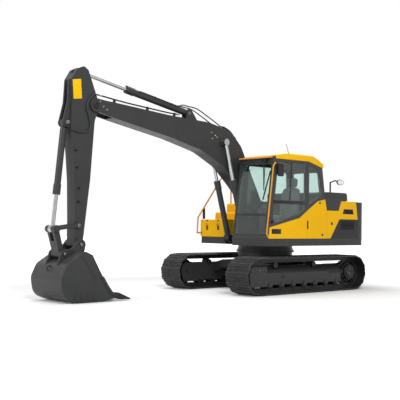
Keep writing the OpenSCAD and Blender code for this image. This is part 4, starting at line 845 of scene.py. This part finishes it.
WIPER_MOTOR = ((975, 2606), (1085, 2606), (1085, 2700), (975, 2700))
WIPER_ARMS = ((1005, 2632), (1045, 2622))
WIPER_JOINT = (1083, 2057, 22)
WIPER_BLADE = ((1190, 2442), (1210, 2437), (1083, 1866), (1063, 1871))
BLADE_SPINE = ((1200, 2440, 20), (1137, 2154, 24), (1073, 1868, 20))

wiper = bmesh.new()
plate(wiper, [on_screen(y, z, 14) for y, z in WIPER_MOTOR], screen_out * 46 * MM, bevel_mm=14)
for y, z in WIPER_ARMS:
    arm_line = [on_screen(y, z, 40), on_screen(y + 6, z - 60, 30), on_screen(*WIPER_JOINT)]
    sweep(wiper, bent(arm_line, radius_mm=60), radius_mm=9, sides=10)
plate(wiper, [on_screen(y, z, 3) for y, z in WIPER_BLADE], screen_out * 15 * MM, bevel_mm=2)
sweep(wiper, through([on_screen(y, z, off) for y, z, off in BLADE_SPINE]), radius_mm=7, sides=10)
piece("wiper", wiper, BLACK, "upper")

# Cab: the door's bars, blank plate and handle

UPPER_SIDE = 1244
UPRIGHT_BAR = strip((569, 2632), (622, 1883), 13)
CROSS_BAR = [(160, 1800), (1118, 1800), (1110, 1868), (160, 1868)]
DOOR_PLATE_MIDDLE = (1006.5, 1250.5)
DOOR_PLATE = oblong(135.5, 48.5)
PLATE_BOLTS = ((880, 1211), (1133, 1211), (880, 1290), (1133, 1290))
DOOR_HANDLE = [(1085, 1420), (1150, 1405), (1156, 1455), (1091, 1470)]

door_strips = bmesh.new()
side_plate(door_strips, UPRIGHT_BAR, UPPER_SIDE - 2, UPPER_SIDE + 5, bevel_mm=2)
side_plate(door_strips, CROSS_BAR, UPPER_SIDE - 2, UPPER_SIDE + 4, bevel_mm=2)
side_plate(door_strips, moved(DOOR_PLATE, *DOOR_PLATE_MIDDLE), UPPER_SIDE, UPPER_SIDE + 4, bevel_mm=1.5)
for x, z in PLATE_BOLTS:
    bolt(door_strips, at(x, UPPER_SIDE + 4, z), LEFT, size=5)
side_plate(door_strips, DOOR_HANDLE, UPPER_SIDE, UPPER_SIDE + 18, bevel_mm=5)
piece("door_strips", door_strips, BLACK, "cab_door")

# Cab: strike, plugs and antenna, and the small mirror on the right rail

STRIKE = [(60, 1307), (80, 1307), (80, 1470), (60, 1470)]
PLUG = [(24, -1), (24, 5), (17, 8), (8, 8.5)]
PLUG_SPOTS = ((-320, 1850), (-409, 1185))
ANTENNA_Y = 1120
ANTENNA = ((530, 2795), (545, 2850), (575, 2930), (612, 3016))
ANTENNA_FOOT_Z = 2775
ANTENNA_FOOT = [(26, 0), (26, 14), (14, 40), (9, 60)]
RAIL_MIRROR = [(682, 1495), (738, 1495), (744, 1739), (688, 1739)]
RAIL_MIRROR_OUT, RAIL_MIRROR_IN = -1222, -1190

fixings = bmesh.new()
side_plate(fixings, STRIKE, UPPER_SIDE, UPPER_SIDE + 20, bevel_mm=5)
for x, z in PLUG_SPOTS:
    turned_piece(fixings, at(x, UPPER_SIDE + 1, z), LEFT, PLUG, sides=20)
sweep(fixings, through([at(x, ANTENNA_Y, z) for x, z in ANTENNA]), radius_mm=5, sides=10)
turned_piece(fixings, at(ANTENNA[0][0], ANTENNA_Y, ANTENNA_FOOT_Z), UP, ANTENNA_FOOT, sides=20)
side_plate(fixings, RAIL_MIRROR, RAIL_MIRROR_OUT, RAIL_MIRROR_IN, bevel_mm=10)
piece("cab_fixings", fixings, BLACK, "upper")

# Rear mirror: its oval glass

MIRROR_OVAL = arc((-1111, 2317), (108, 51), start_deg=0, step_deg=9, count=40)
MIRROR_BACK, MIRROR_FACE = 1161.5, 1166

mirror = bmesh.new()
side_plate(mirror, MIRROR_OVAL, MIRROR_BACK, MIRROR_FACE, bevel_mm=1.5)
piece("mirror_glass", mirror, MIRROR, "hood")

# Tool box: latches on its front and hooks on its lid

BOX_FRONT = 769
BOX_LATCH_YS = (-1026, -673)
# A latch's wire bail: distance ahead of the box, distance from the latch's middle and z
BAIL = ((15, -20, 1318), (27, -20, 1392), (27, 20, 1392), (15, 20, 1318))

box_latches = bmesh.new()
box_hooks = bmesh.new()
for y in BOX_LATCH_YS:
    block(box_latches, at(BOX_FRONT, y - 26, 1255), at(BOX_FRONT + 9, y + 26, 1345), bevel_mm=3)
    block(box_latches, at(BOX_FRONT + 7, y - 14, 1268), at(BOX_FRONT + 23, y + 14, 1322), bevel_mm=4)
    bail = [at(BOX_FRONT + ahead, y + aside, z) for ahead, aside, z in BAIL]
    sweep(box_latches, bent(bail, radius_mm=14), radius_mm=4, sides=8)
    block(box_hooks, at(BOX_FRONT, y - 24, 1452), at(BOX_FRONT + 17, y + 24, 1478), bevel_mm=5)
piece("box_latches", box_latches, LATCH, "upper")
piece("box_hooks", box_hooks, LATCH, "box_lid")

# Service doors: their latches

LATCH_Z = 1424
LATCH_PLATE = oblong(26, 28)
LATCH_KNOB = [(16, -1), (16, 4), (11, 5), (4, 5.2)]
# Each door's latches: piece, body, side and places
LATCH_SETS = (("left_door_latch", "left_door", 1, (-716,)),
              ("right_door_latches", "right_door", -1, (-640, -1500)))
for label, body, way, xs in LATCH_SETS:
    latches = bmesh.new()
    for x in xs:
        latch = moved(LATCH_PLATE, x, LATCH_Z)
        side_plate(latches, latch, way * UPPER_SIDE, way * (UPPER_SIDE + 8), bevel_mm=4)
        turned_piece(latches, at(x, way * (UPPER_SIDE + 7), LATCH_Z), LEFT * way, LATCH_KNOB, sides=18)
    piece(label, latches, BLACK, body)

# Platform: bolts along its edges

DECK_BOLT_XS = (-1400, -1000, -600, -200, 200, 600, 1000)
DECK_BOLT_Z = 1030

deck_bolts = bmesh.new()
for way in WAYS:
    for x in DECK_BOLT_XS:
        spot = on_face("platform", x, DECK_BOLT_Z, way)
        if spot:
            bolt(deck_bolts, spot, LEFT * way, size=13)
piece("deck_bolts", deck_bolts, BLACK, "upper")

# Hood: a row of vents along its side, drawn as thin dark patches of painted shade

OPENING_COUNT = 12
OPENING_FIRST_X = -545
OPENING_PITCH = 60
OPENING_Z = 1990
OPENING = oblong(19, 14)

# Thin dark rubber patches: painted shade for the vents
opening_shade_patches = bmesh.new()
for k in range(OPENING_COUNT):
    spot = on_face("engine_hood", OPENING_FIRST_X - OPENING_PITCH * k, OPENING_Z)
    if spot:
        outline = [spot + Vector((dx, 0, dz)) * MM for dx, dz in OPENING]
        plate(opening_shade_patches, outline, LEFT * 1.5 * MM, bevel_mm=0.7)
piece("hood_opening_shade", opening_shade_patches, RUBBER, "hood")

# Headliner under the roof

HEADLINER = [(1030, 2668), (70, 2672), (-372, 2560), (-372, 2552), (70, 2660), (1030, 2656)]
HEADLINER_RIGHT, HEADLINER_LEFT = 372, 1195

headliner = bmesh.new()
side_plate(headliner, HEADLINER, HEADLINER_RIGHT, HEADLINER_LEFT, bevel_mm=3)
piece("headliner", headliner, PLASTIC, "upper")

# Seat: crowned cushions on a sprung base, in the place of the plain solid

SEAT = at(330, 783.5, 1150)
# The folds of the sprung base: count, height, gap, foot, half width and how far every second one is drawn in
FOLD_COUNT = 4
FOLD_PITCH = 58
FOLD_GAP = 2
FOLD_FOOT = 60
FOLD_HALF = 205
FOLD_IN = 8


def seat_at(x, y, z):
    """Place in millimetres ahead of, left of and above the middle of the seat's foot."""
    return SEAT + Vector((x, y, z)) * MM


lean = Vector((-95, 0, 610)).normalized()
face = Vector((lean.z, 0, -lean.x))
pads = bmesh.new()
pillow(pads, seat_at(18, 0, 362), (AHEAD, LEFT, UP), (262, 244, 66), square=0.36,
       channels=(-0.55, 0.55), waist=0.03)
pillow(pads, seat_at(-232, 0, 700), (lean, LEFT, face), (318, 232, 66), square=0.38,
       channels=(-0.52, 0.52), waist=0.04)
pillow(pads, seat_at(-296, 0, 1112), (lean, LEFT, face), (104, 140, 52), square=0.55,
       channels=(), waist=0.03)
cushions = piece("seat_cushions", pads, CLOTH, "upper", smooth_deg=70)
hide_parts("operator_seat")

base = bmesh.new()
for k in range(FOLD_COUNT):
    half_x = FOLD_HALF - FOLD_IN * (k % 2)
    z = FOLD_FOOT + FOLD_PITCH * k
    top = z + FOLD_PITCH - FOLD_GAP
    block(base, seat_at(-half_x, -FOLD_HALF, z), seat_at(half_x, FOLD_HALF, top), bevel_mm=22)
block(base, seat_at(-230, -210, 2), seat_at(230, 210, 62), bevel_mm=8)
piece("seat_base", base, PLASTIC, "upper")

# Stage, lamps and camera

FLOOR_SIZE = 60.0
# Light that the sky sends out, and what the floor shows near the machine and far from it
SKY_LIGHT = 0.42
FLOOR_GLOW = 0.1
GLOW_FROM, GLOW_FULL = 4.0, 9.0
# Each lamp's name, place, target, size and power
LAMPS = (("key lamp", (5.0, 9.0, 9.0), (0.0, 0.0, 1.5), 4.0, 950),
         ("front lamp", (11.0, -1.0, 6.0), (1.0, 0.0, 1.5), 4.0, 380),
         ("top lamp", (-1.0, -2.0, 10.0), (0.0, 0.0, 1.5), 7.0, 520))


def make_floor():
    mesh = bmesh.new()
    bmesh.ops.create_grid(mesh, x_segments=2, y_segments=2, size=FLOOR_SIZE)
    data = bpy.data.meshes.new("floor")
    mesh.to_mesh(data)
    mesh.free()
    floor = bpy.data.objects.new("floor", data)
    bpy.context.collection.objects.link(floor)
    s = Shader("pale floor")
    s.main.inputs["Base Color"].default_value = colour(0.8, 0.8, 0.8)
    s.main.inputs["Roughness"].default_value = 0.9
    s.main.inputs["Specular IOR Level"].default_value = 0.0
    path = s.add("ShaderNodeLightPath")
    seen = s.math("MAXIMUM", path.outputs["Is Camera Ray"], path.outputs["Is Glossy Ray"])
    seen = s.math("MAXIMUM", seen, path.outputs["Is Transmission Ray"])
    distance = s.add("ShaderNodeVectorMath", {"operation": "LENGTH"})
    s.put(distance.inputs[0], s.place)
    glow = s.ramp(distance.outputs["Value"], GLOW_FROM, GLOW_FULL, FLOOR_GLOW, 1.0)
    s.put(s.main.inputs["Emission Strength"], s.math("MULTIPLY", seen, glow))
    s.main.inputs["Emission Color"].default_value = colour(1, 1, 1)
    data.materials.append(s.material)


def make_sky():
    world = bpy.data.worlds.new("studio")
    bpy.context.scene.world = world
    world.use_nodes = True
    tree = world.node_tree
    back = tree.nodes["Background"]
    back.inputs["Color"].default_value = colour(1, 1, 1)
    path = tree.nodes.new("ShaderNodeLightPath")
    seen = path.outputs["Is Camera Ray"]
    for ray in ("Is Glossy Ray", "Is Transmission Ray"):
        either = tree.nodes.new("ShaderNodeMath")
        either.operation = "MAXIMUM"
        tree.links.new(seen, either.inputs[0])
        tree.links.new(path.outputs[ray], either.inputs[1])
        seen = either.outputs[0]
    level = tree.nodes.new("ShaderNodeMapRange")
    tree.links.new(seen, level.inputs["Value"])
    level.inputs["To Min"].default_value = SKY_LIGHT
    level.inputs["To Max"].default_value = 1.0
    tree.links.new(level.outputs["Result"], back.inputs["Strength"])


def make_lamp(name, place, target, size, power):
    data = bpy.data.lights.new(name, "AREA")
    data.shape = "DISK"
    data.size = size
    data.energy = power
    lamp = bpy.data.objects.new(name, data)
    lamp.location = place
    lamp.rotation_mode = "QUATERNION"
    lamp.rotation_quaternion = (Vector(target) - Vector(place)).to_track_quat("-Z", "Y")
    bpy.context.collection.objects.link(lamp)


# The photograph's camera: its place, direction, roll and focal length, and how far the optical centre lies
# below the image's middle
IMAGE_PX = 400
FOCAL_PX = 786.27
CENTRE_DROP_PX = 12.2
CAMERA_PLACE = Vector((10.846, 11.743, 1.351))
CAMERA_FORWARD = Vector((-0.6683, -0.7437, 0.0167)).normalized()
CAMERA_ROLL = math.radians(0.77)
SENSOR_MM = 36.0


def make_camera():
    data = bpy.data.cameras.new("camera")
    data.sensor_fit = "HORIZONTAL"
    data.sensor_width = SENSOR_MM
    data.lens = FOCAL_PX / IMAGE_PX * SENSOR_MM
    data.shift_y = CENTRE_DROP_PX / IMAGE_PX
    camera = bpy.data.objects.new("camera", data)
    level = CAMERA_FORWARD.cross(UP).normalized()
    rise = level.cross(CAMERA_FORWARD)
    right = level * math.cos(CAMERA_ROLL) + rise * math.sin(CAMERA_ROLL)
    up = rise * math.cos(CAMERA_ROLL) - level * math.sin(CAMERA_ROLL)
    turn = Matrix((right, up, -CAMERA_FORWARD)).transposed().to_4x4()
    camera.matrix_world = Matrix.Translation(CAMERA_PLACE) @ turn
    bpy.context.collection.objects.link(camera)
    bpy.context.scene.camera = camera


bpy.context.scene.view_settings.view_transform = "Standard"
make_floor()
make_sky()
for lamp in LAMPS:
    make_lamp(*lamp)
make_camera()
